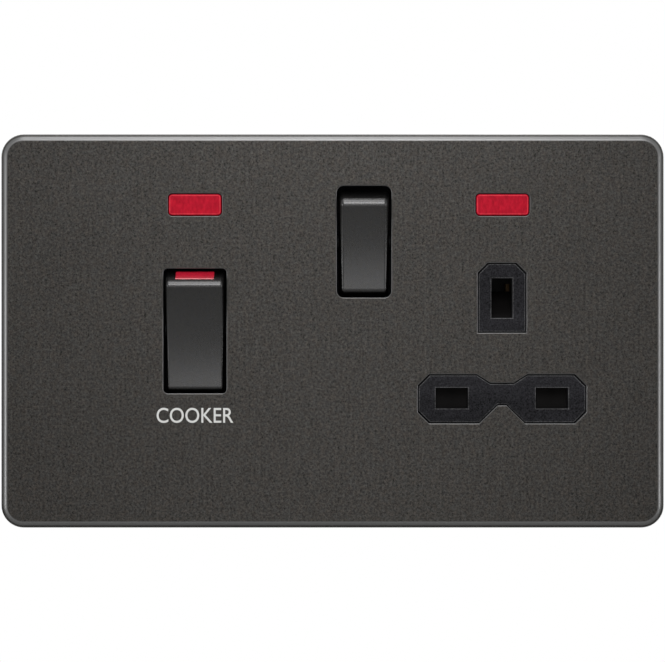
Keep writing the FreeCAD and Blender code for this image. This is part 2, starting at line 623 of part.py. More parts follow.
def make_front_moulding():
    body = new_body("front_moulding")
    inside_width = plate_width - 2 * (plate_gauge + moulding_fit)
    inside_height = plate_height - 2 * (plate_gauge + moulding_fit)
    corner = plate_corner - plate_gauge - moulding_fit
    face = new_sketch(body, "XZ_Plane")
    draw_rounded(face, middle, middle, inside_width, inside_height, corner)
    slab = add_pad(body, face, -plate_back)
    add_edge_feature(body, "Chamfer", slab, at_depth(plate_back), rim_bevel)
    recess = new_sketch(body, "XZ_Plane")
    hollow_width = inside_width - 2 * rim_wall
    hollow_height = inside_height - 2 * rim_wall
    draw_rounded(recess, middle, middle, hollow_width, hollow_height, corner - rim_wall)
    add_pocket(body, recess, -skin_back, backwards=True)
    stiffeners = new_sketch(body, "XZ_Plane", -skin_back)
    low = base_height / 2 + well_clear
    high = hollow_height / 2
    for reach in (stiffener_inner, stiffener_outer):
        for x, z in four_places(reach, (low + high) / 2):
            draw_rectangle(stiffeners, x, z, stiffener_width, high - low)
    add_pad(body, stiffeners, -skin_back - stiffener_back, backwards=True)

    islands = new_sketch(body, "XZ_Plane", -plate_back)
    draw_outline(islands, house_points(island_gap))
    draw_outline(islands, bone_points(island_gap))
    add_pad(body, islands, plate_back - island_face)

    block = new_sketch(body, "XZ_Plane", -skin_back)
    block_width = shutter_width + 2 * shutter_gap
    block_middle = socket_z + (bone_above - bone_below) / 2
    draw_rectangle(block, socket_x, block_middle, block_width, bone_above + bone_below)
    add_pad(body, block, block_thick, backwards=True)
    earth_block = new_sketch(body, "XZ_Plane", -skin_back)
    low = socket_z + bone_above
    high = earth_z + house_above
    draw_rectangle(earth_block, socket_x, (low + high) / 2, house_width, high - low)
    add_pad(body, earth_block, block_thick, backwards=True)

    wells = new_sketch(body, "XZ_Plane", -skin_back)
    walls = 2 * well_wall
    draw_rectangle(wells, cooker_x, middle, cooker_hole_width + walls, cooker_well + walls)
    draw_rectangle(wells, switch_x, switch_z, switch_hole_width + walls, switch_well + walls)
    add_pad(body, wells, well_depth, backwards=True)

    columns = new_sketch(body, "XZ_Plane", -skin_back)
    for x, z in four_places(column_x, column_z):
        draw_circle(columns, x, z, column_radius)
    add_pad(body, columns, column_joint - skin_back, backwards=True)
    bosses = new_sketch(body, "XZ_Plane", -skin_back)
    for side in (-1, 1):
        draw_circle(bosses, side * fixing_spacing / 2, middle, fixing_boss)
    add_pad(body, bosses, -skin_back, backwards=True)

    rail_low = socket_z + shutter_above + rail_clear
    rail_middle = rail_low + rail_height / 2
    rails = new_sketch(body, "XZ_Plane", -block_back)
    hooks = new_sketch(body, "XZ_Plane", -(shutter_back + shutter_gap))
    for side in (-1, 1):
        inner = stem_width / 2 + shutter_gap
        rail_x = socket_x + side * (inner + rail_gauge / 2)
        draw_rectangle(rails, rail_x, rail_middle, rail_gauge, rail_height)
        draw_rectangle(hooks, socket_x + side * inner, rail_middle, 2 * rail_gauge, rail_height)
    add_pad(body, rails, shutter_back + shutter_gap - block_back, backwards=True)
    add_pad(body, hooks, hook_gauge, backwards=True)

    openings = new_sketch(body, "XZ_Plane", plate_depth)
    draw_round_openings(openings)
    draw_rectangle(openings, cooker_x, middle, cooker_hole_width, cooker_well)
    draw_rectangle(openings, switch_x, switch_z, switch_hole_width, switch_well)
    draw_rectangle(openings, line_x, socket_z, slot_width, slot_height)
    draw_rectangle(openings, neutral_x, socket_z, slot_width, slot_height)
    draw_rectangle(openings, socket_x, earth_z, earth_slot_width, earth_slot_height)
    draw_rectangle(openings, earth_leaf_x, earth_leaf_z, earth_window_width, earth_window_height)
    for side in (-1, 1):
        draw_circle(openings, side * fixing_spacing / 2, middle, fixing_hole)
    holes = add_pocket(body, openings)
    add_edge_feature(body, "Fillet", holes, at_depth(island_face), island_round)
    add_well_floors(body)

    sinks = new_sketch(body, "XZ_Plane", -plate_back)
    for side in (-1, 1):
        draw_circle(sinks, side * fixing_spacing / 2, middle, fixing_head)
    sink = add_pocket(body, sinks, fixing_head - fixing_hole)
    bind(sink, "TaperAngle", -sink_angle)

    bores = new_sketch(body, "XZ_Plane", -column_joint)
    for x, z in four_places(column_x, column_z):
        draw_circle(bores, x, z, assembly_radius + thread_play)
    add_pocket(body, bores, column_joint - skin_back - assembly_blind, backwards=True)

    for x, z, width in ((cooker_x, middle, cooker_hole_width), (switch_x, switch_z, switch_hole_width)):
        axle = new_sketch(body, "YZ_Plane", x)
        draw_circle(axle, axle_depth, z, axle_radius + axle_fit)
        add_pocket(body, axle, width + 2 * (well_wall + cut_margin), symmetric=True)

    catches = new_sketch(body, "XZ_Plane")
    for x, z in four_places(tab_spacing, inside_height / 2):
        draw_rectangle(catches, x, z, tab_width + 2 * tab_play, 2 * tab_reach)
    add_pocket(body, catches, rim_gap + tab_thick + tab_play, backwards=True)


# Base moulding: an open box that closes the rear and holds the terminals and strips
def base_points(inset):
    half = base_width / 2 - inset
    tall = base_height / 2 - inset
    waist = half - lug_relief
    relief = lug_height / 2 + inset
    right = [
        (half, -tall), (half, -relief), (waist, -relief),
        (waist, relief), (half, relief), (half, tall),
    ]
    left = [(-x, z) for x, z in reversed(right)]
    return right + left


def terminal_places():
    """Every terminal: its node name, X, and +1 at the top or -1 at the bottom."""
    return [
        ("line_out_terminal", line_out_x, 1),
        ("neutral_out_terminal", neutral_out_x, 1),
        ("line_in_terminal", line_out_x, -1),
        ("neutral_in_terminal", neutral_out_x, -1),
        ("earth_terminal_first", earth_first_x, -1),
        ("earth_terminal_second", earth_second_x, -1),
    ]


def make_base_moulding():
    body = new_body("base_moulding")
    outer = new_sketch(body, "XZ_Plane", -skin_back)
    draw_outline(outer, base_points(middle))
    slab = add_pad(body, outer, base_back - skin_back, backwards=True)

    def long_corner(edge):
        box = edge.BoundBox
        at_side = abs(abs(box.Center.x) - base_width.number / 2) < TOLERANCE
        at_end = abs(abs(box.Center.z) - base_height.number / 2) < TOLERANCE
        return box.YLength > base_back.number and at_side and at_end

    rounded = add_edge_feature(body, "Fillet", slab, long_corner, base_corner)
    add_edge_feature(body, "Chamfer", rounded, at_depth(base_back), base_bevel)
    inner = new_sketch(body, "XZ_Plane", -skin_back)
    draw_outline(inner, base_points(base_wall))
    add_pocket(body, inner, base_floor - skin_back)

    def stand(rectangles, front):
        """Rectangular supports that stand on the rear wall and end at a given depth."""
        sketch = new_sketch(body, "XZ_Plane", -base_floor)
        for x, z, width, height in rectangles:
            draw_rectangle(sketch, x, z, width, height)
        add_pad(body, sketch, base_floor - front)

    columns = new_sketch(body, "XZ_Plane", -base_floor)
    for x, z in four_places(column_x, column_z):
        draw_circle(columns, x, z, column_radius)
    add_pad(body, columns, base_floor - column_joint)
    sleeves = new_sketch(body, "XZ_Plane", -base_floor)
    for _, x, side in terminal_places():
        draw_circle(sleeves, x, side * terminal_level, access_outer)
    add_pad(body, sleeves, base_floor - terminal_rear)
    ribs = []
    for _, x, side in terminal_places():
        for edge in (-1, 1):
            offset = terminal_width / 2 + rib_play + rib_gauge / 2
            ribs.append((x + edge * offset, side * terminal_level, rib_gauge, terminal_height))
    stand(ribs, terminal_front)
    stand([
        (line_pole, middle, track_width, track_width),
        (neutral_pole, middle, track_width, track_width),
        (switch_x, switch_z - track_width / 2, track_width, track_width),
        (neutral_x, socket_z - track_width / 2, track_width, track_width),
    ], feed_front + strip_gauge)
    stand([
        (switch_x, fixed_rivet_z(switch_z, switch_bar_reach), track_width, track_width),
        (drop_x, middle, track_width, track_width),
    ], strip_front + strip_gauge)

    access = new_sketch(body, "XZ_Plane", -base_back)
    for _, x, side in terminal_places():
        draw_circle(access, x, side * terminal_level, access_radius)
    add_pocket(body, access, base_back - terminal_rear, backwards=True)
    screws = new_sketch(body, "XZ_Plane", -base_back)
    heads = new_sketch(body, "XZ_Plane", -base_back)
    for x, z in four_places(column_x, column_z):
        draw_circle(screws, x, z, assembly_radius + thread_play)
        draw_circle(heads, x, z, assembly_head + thread_play)
    add_pocket(body, screws, base_back - column_joint, backwards=True)
    add_pocket(body, heads, assembly_sink, backwards=True)

    window_y = terminal_bore_depth
    through = new_sketch(body, "XY_Plane")
    for x in (line_out_x, neutral_out_x):
        draw_rectangle(through, x, window_y, cable_window, cable_window)
    add_pocket(body, through, base_height + 2 * cut_margin, symmetric=True)
    below = new_sketch(body, "XY_Plane")
    for x in (earth_first_x, earth_second_x):
        draw_rectangle(below, x, window_y, cable_window, cable_window)
    add_pocket(body, below)

    relief = new_sketch(body, "XZ_Plane", -skin_back)
    clear = switch_hole_width + 2 * well_wall + 2 * well_clear
    draw_rectangle(relief, switch_x, base_height / 2, clear, 2 * base_wall + 2 * well_clear)
    add_pocket(body, relief, well_depth + well_clear)


def fixed_rivet_z(hinge_z, reach):
    return hinge_z + reach - rivet_inset


# Simple solids for the pieces inside
def add_box(x, y, z):
    """A block given by its low and high limits along each axis."""
    box = document.addObject("Part::Box", "block")
    for length, axis, (low, high) in (("Length", "x", x), ("Width", "y", y), ("Height", "z", z)):
        bind(box, length, as_size(high) - low)
        bind(box, f".Placement.Base.{axis}", low)
    return box


def add_rod(axis, x, y, z, radius, length):
    """A round bar from a point along one axis."""
    rod = document.addObject("Part::Cylinder", "rod")
    turns = {"x": (VECTOR(0, 1, 0), QUARTER_TURN), "y": (X_AXIS, -QUARTER_TURN), "z": (X_AXIS, 0)}
    rod.Placement = FreeCAD.Placement(VECTOR(), FreeCAD.Rotation(*turns[axis]))
    bind(rod, "Radius", radius)
    bind(rod, "Height", length)
    place(rod, x, y, z)
    return rod


def add_ball(x, y, z, radius):
    ball = document.addObject("Part::Sphere", "ball")
    bind(ball, "Radius", radius)
    place(ball, x, y, z)
    return ball


def fuse(shapes):
    if len(shapes) == 1:
        return shapes[0]
    joined_shapes = document.addObject("Part::MultiFuse", "union")
    joined_shapes.Shapes = shapes
    return joined_shapes


def cut(base, tools):
    difference = document.addObject("Part::Cut", "difference")
    difference.Base = base
    difference.Tool = fuse(tools)
    return difference


def finish(name, shape):
    """Gives a finished piece its name and lists it for writing."""
    shape.Label = name
    pieces[name] = shape
    return shape


def moved_shape(shape, placement):
    """A copy whose own geometry is moved, so that a Placement can still be given to it."""
    return shape.transformGeometry(placement.toMatrix())


def make_coil(name, radius, wire, pitch, length):
    """A coil of round wire along +Z from the origin, with half a wire of room at each end."""
    helix = Part.makeHelix(pitch.number, length.number - 2 * wire.number, radius.number)
    start = helix.Vertexes[0].Point
    tangent = helix.Edges[0].tangentAt(helix.Edges[0].FirstParameter)
    section = Part.Wire(Part.makeCircle(wire.number, start, tangent))
    solid = Part.Wire(helix.Edges).makePipeShell([section], True, True)
    coil = document.addObject("Part::Feature", name)
    coil.Shape = moved_shape(solid, FreeCAD.Placement(VECTOR(0, 0, wire.number), FreeCAD.Rotation()))
    return finish(name, coil)


# Rockers: a metal cap on a moulded dolly whose guides hold sprung plungers
class Rocker:
    """The sizes of one rocker, in a frame at its own axle."""

    def __init__(self, prefix, centre, width, ridge, ridge_reach, foot, foot_reach, sag, rounds, hole):
        self.prefix = prefix
        self.x, self.z = centre
        self.ridge_round, self.side_round = rounds
        self.width = width
        self.ridge = ridge
        self.ridge_reach = ridge_reach
        self.foot = foot
        self.foot_reach = foot_reach
        self.sag = sag
        self.hole = hole
        self.dolly_width = width - 2 * (cap_gauge + side_draft + cap_bond)

    def set_in_place(self, shape):
        place(shape, self.x, axle_depth, self.z, turn=rocker_angle)

    def draw_side(self, sketch, inset, tail):
        """The side view: two ends that slope to the ridges and a hollow face between them."""
        ridge = self.ridge - inset
        reach = self.ridge_reach - inset
        low_point = (-ridge, -reach)
        high_point = (-ridge, reach)
        points = [high_point] + tail + [low_point]
        first = sketch.GeometryCount
        for here, there in zip(points, points[1:]):
            sketch.addGeometry(Part.LineSegment(flat_point(here), flat_point(there)), False)
        last = sketch.GeometryCount - 1
        radius = (reach * reach + self.sag * self.sag) / (2 * self.sag)
        half_angle = math.asin(reach.number / radius.number)
        circle = Part.Circle(flat_point((self.sag - ridge - radius, 0)), Z_AXIS, radius.number)
        arc = sketch.addGeometry(Part.ArcOfCircle(circle, -half_angle, half_angle), False)
        for number in range(first, last + 1):
            hold_point(sketch, number, 1, points[number - first])
            if number < last:
                sketch.addConstraint(Sketcher.Constraint("Coincident", number, 2, number + 1, 1))
        hold_point(sketch, last, 2, low_point)
        sketch.addConstraint(Sketcher.Constraint("Coincident", arc, 1, last, 2))
        sketch.addConstraint(Sketcher.Constraint("Coincident", arc, 2, first, 1))
        number = sketch.addConstraint(Sketcher.Constraint("Radius", arc, radius.number))
        bind(sketch, f"Constraints[{number}]", radius)

    def make_cap(self):
        body = new_body(f"{self.prefix}_rocker_cap")
        profile = new_sketch(body, "YZ_Plane")
        self.draw_side(profile, 0, [(-self.foot, self.foot_reach), (-self.foot, -self.foot_reach)])
        slab = add_pad(body, profile, self.width, symmetric=True)
        add_edge_feature(body, "Fillet", slab, at_depth(-self.ridge), self.ridge_round)
        sides = new_sketch(body, "XY_Plane")
        front = self.ridge + self.sag
        draft = side_draft * (front - self.foot) / (self.ridge - self.foot)
        for side in (-1, 1):
            edge = side * self.width / 2
            points = [(edge, -self.foot), (edge, -front), (edge - side * draft, -front)]
            draw_outline(sides, points)
        tapered = add_pocket(body, sides, 2 * (self.foot_reach + cut_margin), symmetric=True)

        def along_side(edge):
            box = edge.BoundBox
            return box.XLength < self.width.number / 4 and box.YMin < -self.foot.number - TOLERANCE

        add_edge_feature(body, "Fillet", tapered, along_side, self.side_round)
        inside = new_sketch(body, "YZ_Plane")
        rear = self.foot - cap_gauge
        reach = self.foot_reach - cap_gauge
        tail = [(-self.foot, reach), (-rear, reach), (-rear, -reach), (-self.foot, -reach)]
        self.draw_side(inside, cap_gauge, tail)
        add_pocket(body, inside, self.dolly_width + 2 * cap_bond, symmetric=True)
        self.set_in_place(body)
        return body

    def flag_points(self, proud):
        """Side view of the flag let into the sloping upper end of the cap."""
        slope = (self.foot_reach - self.ridge_reach) / (self.ridge - self.foot)
        near = flag_inset
        far = flag_inset + flag_height
        return [
            (-(self.foot + near), self.foot_reach - slope * near + proud),
            (-(self.foot + near), self.foot_reach - slope * near - flag_sunk),
            (-(self.foot + far), self.foot_reach - slope * far - flag_sunk),
            (-(self.foot + far), self.foot_reach - slope * far + proud),
        ]

    def make_flag(self, cap):
        """The flag and the recess in the cap that it fills."""
        recess = new_sketch(cap, "YZ_Plane")
        draw_outline(recess, self.flag_points(cap_gauge))
        add_pocket(cap, recess, flag_width, symmetric=True)
        body = new_body(f"{self.prefix}_flag")
        profile = new_sketch(body, "YZ_Plane")
        points = self.flag_points(flag_proud)
        draw_outline(profile, points)
        slab = add_pad(body, profile, flag_width, symmetric=True)
        front_edge = flat_point(points[-1])

        def outer_front(edge):
            centre = edge.BoundBox.Center
            return math.hypot(centre.y - front_edge.x, centre.z - front_edge.y) < TOLERANCE

        add_edge_feature(body, "Fillet", slab, outer_front, flag_round)
        self.set_in_place(body)

    def make_dolly(self, guides):
        body = new_body(f"{self.prefix}_dolly")
        inset = cap_gauge + cap_bond
        reach = self.foot_reach - inset
        heel = guide_heel
        cheek = [
            (-self.foot, reach),
            (-(self.foot - dolly_wall), reach),
            (-(self.foot - dolly_wall), reach - 2 * dolly_wall),
            (heel, cheek_reach),
            (heel, -cheek_reach),
            (-(self.foot - dolly_wall), 2 * dolly_wall - reach),
            (-(self.foot - dolly_wall), -reach),
            (-self.foot, -reach),
        ]
        profile = new_sketch(body, "YZ_Plane")
        self.draw_side(profile, inset, cheek)
        add_pad(body, profile, self.dolly_width, symmetric=True)
        hollow = new_sketch(body, "YZ_Plane")
        inset = inset + dolly_wall
        reach = reach - dolly_wall
        rear = heel + dolly_wall
        tail = [(-self.foot, reach), (rear, reach), (rear, -reach), (-self.foot, -reach)]
        self.draw_side(hollow, inset, tail)
        add_pocket(body, hollow, self.dolly_width - 2 * dolly_wall, symmetric=True)
        guide = new_sketch(body, "XZ_Plane", -guide_reach)
        bore = new_sketch(body, "XZ_Plane", -guide_reach)
        for offset in guides:
            draw_circle(guide, offset, middle, guide_radius)
            draw_circle(bore, offset, middle, guide_bore)
        roof = self.ridge - self.sag - inset
        add_pad(body, guide, guide_reach + roof + dolly_wall / 2)
        add_pocket(body, bore, guide_reach + spring_top, backwards=True)
        stub = new_sketch(body, "YZ_Plane", self.dolly_width / 2)
        draw_circle(stub, middle, middle, axle_radius)
        stub_pad = add_pad(body, stub, self.hole / 2 + well_wall - self.dolly_width / 2)
        document.recompute()
        mirror = body.newObject("PartDesign::Mirrored", f"{body.Name}_other_stub")
        mirror.Originals = [stub_pad]
        plane = [item for item in body.Origin.OriginFeatures if item.Role == "YZ_Plane"][0]
        mirror.MirrorPlane = (plane, [""])
        body.Tip = mirror
        self.set_in_place(body)

    def make_plunger(self, name, offset):
        """A round pin with a domed tip, sliding in its guide."""
        tip = plunger_reach - plunger_radius
        pin = add_rod("y", offset, plunger_root, 0, plunger_radius, tip - plunger_root)
        ball = add_ball(offset, tip, 0, plunger_radius)
        plunger = finish(name, fuse([pin, ball]))
        self.set_in_place(plunger)

    def make_spring(self, name, offset):
        length = plunger_root + spring_top
        coil = make_coil(name, guide_bore - 2 * spring_wire, spring_wire, spring_pitch, length)
        start = VECTOR(offset.number, plunger_root.number, 0)
        along = FreeCAD.Placement(start, FreeCAD.Rotation(X_AXIS, QUARTER_TURN))
        coil.Shape = moved_shape(coil.Shape, along)
        self.set_in_place(coil)


def make_rockers():
    cooker = Rocker(
        "cooker", (cooker_x, middle), cooker_cap_width, cooker_ridge, cooker_ridge_reach, cooker_foot,
        cooker_foot_reach, cooker_sag, (cooker_round, cooker_side), cooker_hole_width)
    cooker.make_flag(cooker.make_cap())
    cooker.make_dolly([-pole_offset, pole_offset])
    cooker.make_plunger("cooker_plunger_line", -pole_offset)
    cooker.make_plunger("cooker_plunger_neutral", pole_offset)
    cooker.make_spring("cooker_spring_line", -pole_offset)
    cooker.make_spring("cooker_spring_neutral", pole_offset)
    switch = Rocker(
        "socket", (switch_x, switch_z), switch_cap_width, switch_ridge, switch_ridge_reach, switch_foot,
        switch_foot_reach, switch_sag, (switch_round, switch_side), switch_hole_width)
    switch.make_cap()
    switch.make_dolly([middle])
    switch.make_plunger("socket_plunger", middle)
    switch.make_spring("socket_plunger_spring", middle)


# See-saw contact bars, the edges they rock on and the contacts that they close
def touching_depth(reach):
    """Depth that a bar's rivet reaches when the bar is tilted to the closed side."""
    arm = reach - rivet_inset
    back = rivet_height - bar_dish * arm / reach
    return hinge_depth + back * cosine(bar_angle) + (arm + rivet_radius) * sine(bar_angle)


def make_bar(name, x, z, reach):
    body = new_body(name)
    profile = new_sketch(body, "YZ_Plane")
    draw_outline(profile, [
        (0, 0), (-bar_dish, reach), (-bar_dish - bar_gauge, reach),
        (-bar_gauge, 0), (-bar_dish - bar_gauge, -reach), (-bar_dish, -reach),
    ])
    add_pad(body, profile, bar_width, symmetric=True)
    rivet = new_sketch(body, "XZ_Plane", bar_dish)
    arm = reach - rivet_inset
    draw_circle(rivet, middle, arm, rivet_radius)
    add_pad(body, rivet, bar_dish + rivet_height - bar_dish * arm / reach, backwards=True)
    place(body, x, hinge_depth, z, turn=-bar_angle)


def make_fulcrum(name, x, z):
    body = new_body(name)
    tip = hinge_depth + fulcrum_play
    width = bar_width + 2 * (ear_play + ear_gauge)
    profile = new_sketch(body, "YZ_Plane")
    draw_outline(profile, [
        (tip, fulcrum_edge / 2), (tip, -fulcrum_edge / 2),
        (feed_front, -fulcrum_foot / 2), (feed_front, fulcrum_foot / 2),
    ])
    add_pad(body, profile, width, symmetric=True)
    ears = new_sketch(body, "XZ_Plane", -(tip + bar_gauge))
    for side in (-1, 1):
        centre = side * (width - ear_gauge) / 2
        draw_rectangle(ears, centre, middle, ear_gauge, ear_height)
    add_pad(body, ears, bar_gauge + ear_lead)
    place(body, x, 0, z)


def add_fixed_rivet(x, z, reach):
    front = touching_depth(reach) + rivet_gap
    return add_rod("y", x, front, fixed_rivet_z(z, reach), rivet_radius, strip_front - front)


def around(centre, width):
    return (centre - width / 2, centre + width / 2)


def strip_layer(front):
    return (front, front + strip_gauge)


def make_switch_contacts():
    make_bar("cooker_contact_line", line_pole, middle, cooker_bar_reach)
    make_bar("cooker_contact_neutral", neutral_pole, middle, cooker_bar_reach)
    make_bar("socket_switch_contact", switch_x, switch_z, switch_bar_reach)
    make_fulcrum("line_fulcrum", line_pole, 0)
    make_fulcrum("neutral_fulcrum", neutral_pole, 0)
    make_fulcrum("socket_switch_fulcrum", switch_x, switch_z)
    layer = strip_layer(strip_front)
    terminal_low = terminal_level - terminal_height / 2
    rivet_z = fixed_rivet_z(0, cooker_bar_reach)
    half = track_width / 2
    for name, pole, terminal, side in (
        ("line_out_contact", line_pole, line_out_x, -1),
        ("neutral_out_contact", neutral_pole, neutral_out_x, 1),
    ):
        limits = (terminal - foot_overlap, pole + half)
        if side > 0:
            limits = (pole - half, terminal + foot_overlap)
        finish(name, fuse([
            add_box(around(pole, track_width), layer, (rivet_z - half, terminal_low)),
            add_box(limits, layer, (terminal_low - track_width, terminal_low)),
            add_fixed_rivet(pole, middle, cooker_bar_reach),
        ]))


# Strips and straps inside the base
def make_strips():
    wide = bar_width + 2 * (ear_play + ear_gauge)
    half = track_width / 2
    feed = strip_layer(feed_front)
    bottom = -(terminal_level - terminal_height / 2)
    foot_y = (feed_front - terminal_overhang, feed_front + strip_gauge)
    foot_z = (bottom, bottom + strip_gauge)
    finish("line_feed_bar", fuse([
        add_box(around(line_out_x, 2 * foot_overlap), foot_y, foot_z),
        add_box((line_out_x - foot_overlap, line_pole + wide / 2), feed, (bottom, bottom + track_width)),
        add_box(around(line_pole, wide), feed, (bottom, run_level + half)),
        add_box((line_pole - wide / 2, switch_x + wide / 2), feed, around(run_level, track_width)),
        add_box(around(switch_x, wide), feed, (run_level - half, switch_z + fulcrum_foot / 2)),
    ]))
    finish("neutral_feed_bar", fuse([
        add_box(around(neutral_out_x, 2 * foot_overlap), foot_y, foot_z),
        add_box((neutral_pole - wide / 2, neutral_out_x + foot_overlap), feed, (bottom, neutral_level + half)),
        add_box(around(neutral_pole, wide), feed, (bottom, fulcrum_foot / 2)),
        add_box((neutral_pole - wide / 2, neutral_x + leaf_width / 2), feed, around(neutral_level, track_width)),
        add_box(around(neutral_x, leaf_width), feed, (neutral_level - half, socket_z + half)),
        add_box(around(neutral_x, track_width), (strip_front, feed_front), around(socket_z, track_width)),
    ]))
    layer = strip_layer(strip_front)
    rivet_z = fixed_rivet_z(switch_z, switch_bar_reach)
    drop = around(drop_x, track_width)
    finish("socket_line_strip", fuse([
        add_box((switch_x - half, drop_x + half), layer, around(rivet_z, track_width)),
        add_box(drop, layer, (socket_z - half, rivet_z + half)),
        add_box((drop_x - half, line_x + leaf_width / 2), layer, around(socket_z, track_width)),
        add_fixed_rivet(switch_x, switch_z, switch_bar_reach),
    ]))
    earth = strip_layer(earth_front)
    web_low = earth_z - earth_pin_half - leaf_gauge
    riser = around(earth_second_x + earth_riser, track_width)
    earth_y = around(terminal_bore_depth, foot_depth)
    finish("earth_strap", fuse([
        add_box((earth_first_x - foot_overlap, earth_second_x + earth_riser + half), earth_y, foot_z),
        add_box(riser, earth, (bottom, earth_level + half)),
        add_box((riser[0], socket_x + half), earth, around(earth_level, track_width)),
        add_box(around(socket_x, track_width), earth, (earth_level, web_low)),
    ]))
    leaf_x = around(earth_leaf_x, track_width)
    leaf_z = around(earth_level, leaf_spring_gauge)
    hook_back = plate_back + leaf_spring_gauge
    leaf_foot = earth_front - leaf_spring_gauge
    finish("plate_earth_spring", fuse([
        add_box(leaf_x, (leaf_foot, earth_front), around(earth_level, track_width)),
        add_box(leaf_x, (plate_back, earth_front), leaf_z),
        add_box(leaf_x, (plate_back, hook_back), (leaf_z[0], leaf_z[0] + leaf_spring_hook)),
    ]))


# Folded contacts that grip the plug's pins
def make_socket_contacts():
    grip = (pin_thick - contact_squeeze) / 2
    outer = grip + leaf_gauge
    throat = leaf_front + leaf_mouth
    web = strip_front - leaf_gauge
    upper = [
        (web, grip), (throat, grip), (leaf_front, grip + leaf_flare),
        (leaf_front, outer + leaf_flare), (throat, outer), (strip_front, outer),
    ]
    lower = [(y, -z) for y, z in reversed(upper)]
    for name, x in (("line_socket_contact", line_x), ("neutral_socket_contact", neutral_x)):
        body = new_body(name)
        profile = new_sketch(body, "YZ_Plane")
        draw_outline(profile, upper + lower)
        add_pad(body, profile, leaf_width, symmetric=True)
        place(body, x, 0, socket_z)
    body = new_body("earth_socket_contact")
    profile = new_sketch(body, "XZ_Plane", -earth_leaf_rear)
    web_top = -earth_pin_half
    draw_outline(profile, [
        (-outer, web_top - leaf_gauge), (outer, web_top - leaf_gauge), (outer, earth_leaf_top),
        (grip, earth_leaf_top), (grip, web_top), (-grip, web_top),
        (-grip, earth_leaf_top), (-outer, earth_leaf_top),
    ])
    add_pad(body, profile, earth_leaf_rear - earth_leaf_front)
    place(body, socket_x, 0, earth_z)


# Brass terminals and the screws from the rear that clamp the cables
def make_terminal(name, x, level):
    """A block with bevelled long edges, a cable bore along Z and a threaded hole from the rear."""
    body = new_body(name)
    section = new_sketch(body, "XZ_Plane", -terminal_front)
    draw_rectangle(section, x, level, terminal_width, terminal_height)
    block = add_pad(body, section, terminal_depth, backwards=True)

    def long_edge(edge):
        box = edge.BoundBox
        return box.XLength < TOLERANCE and box.YLength < TOLERANCE

    add_edge_feature(body, "Chamfer", block, long_edge, terminal_edge)
    bore = new_sketch(body, "XY_Plane")
    draw_circle(bore, x, terminal_bore_depth, terminal_bore)
    add_pocket(body, bore, base_height, symmetric=True)
    thread = new_sketch(body, "XZ_Plane", -terminal_rear)
    draw_circle(thread, x, level, screw_radius + thread_play)
    add_pocket(body, thread, terminal_depth / 2, backwards=True)


def make_screw(x, z, tip, seat, radius, head_radius, head_height):
    """A slotted screw along Y, from its tip to a head that sits at a given depth."""
    rear = seat + head_height
    shank = add_rod("y", x, tip, z, radius, seat - tip)
    head = add_rod("y", x, seat, z, head_radius, head_height)
    slot = add_box(around(x, 2 * head_radius), (rear - screw_slot, rear), around(z, screw_slot))
    return cut(fuse([shank, head]), [slot])


def finish_group(name, shapes):
    group = document.addObject("Part::Compound", "screw_group")
    group.Links = shapes
    finish(name, group)


def make_terminals():
    screws = []
    for name, x, side in terminal_places():
        level = side * terminal_level
        make_terminal(name, x, level)
        tip = terminal_bore_depth + terminal_bore + screw_back
        seat = terminal_rear + screw_seat
        screws.append(make_screw(x, level, tip, seat, screw_radius, screw_head, screw_head_height))
    finish_group("terminal_screws", screws)


def make_assembly_screws():
    tip = skin_back + assembly_blind + thread_play
    seat = base_back - assembly_sink
    finish_group("assembly_screws", [
        make_screw(x, z, tip, seat, assembly_radius, assembly_head, assembly_head_height)
        for x, z in four_places(column_x, column_z)
    ])


# Shutter: one slide that covers both live slots and is pushed down by the earth pin
def make_shutter():
    body = new_body("shutter")
    face = new_sketch(body, "XZ_Plane", -shutter_back)
    crest = earth_z + ramp_top
    stem_top = crest - ramp_reach
    low = socket_z - shutter_below
    high = socket_z + shutter_above
    side = [
        (shutter_width / 2, low), (shutter_width / 2, high),
        (stem_width / 2, high), (stem_width / 2, stem_top),
    ]
    right = [(socket_x + reach, level) for reach, level in side]
    left = [(socket_x - reach, level) for reach, level in reversed(side)]
    draw_outline(face, right + left)
    add_pad(body, face, shutter_gauge)
    ramp = new_sketch(body, "YZ_Plane", socket_x)
    rear = shutter_front + ramp_reach
    draw_outline(ramp, [
        (shutter_front, stem_top), (rear, crest), (rear + shutter_gauge, crest),
        (rear + shutter_gauge, crest - shutter_gauge), (shutter_back, stem_top - shutter_gauge),
        (shutter_front, stem_top - shutter_gauge),
    ])
    add_pad(body, ramp, stem_width, symmetric=True)
    lug = new_sketch(body, "XZ_Plane", -shutter_back)
    draw_rectangle(lug, socket_x, low + shutter_gauge / 2, stem_width, shutter_gauge)
    add_pad(body, lug, shutter_lug, backwards=True)
    spring_length = low + base_height / 2 - base_wall
    spring_y = shutter_front + shutter_spring_radius + 2 * shutter_spring_wire
    coil = make_coil(
        "shutter_spring", shutter_spring_radius, shutter_spring_wire, shutter_spring_pitch, spring_length)
    place(coil, socket_x, spring_y, low - spring_length)


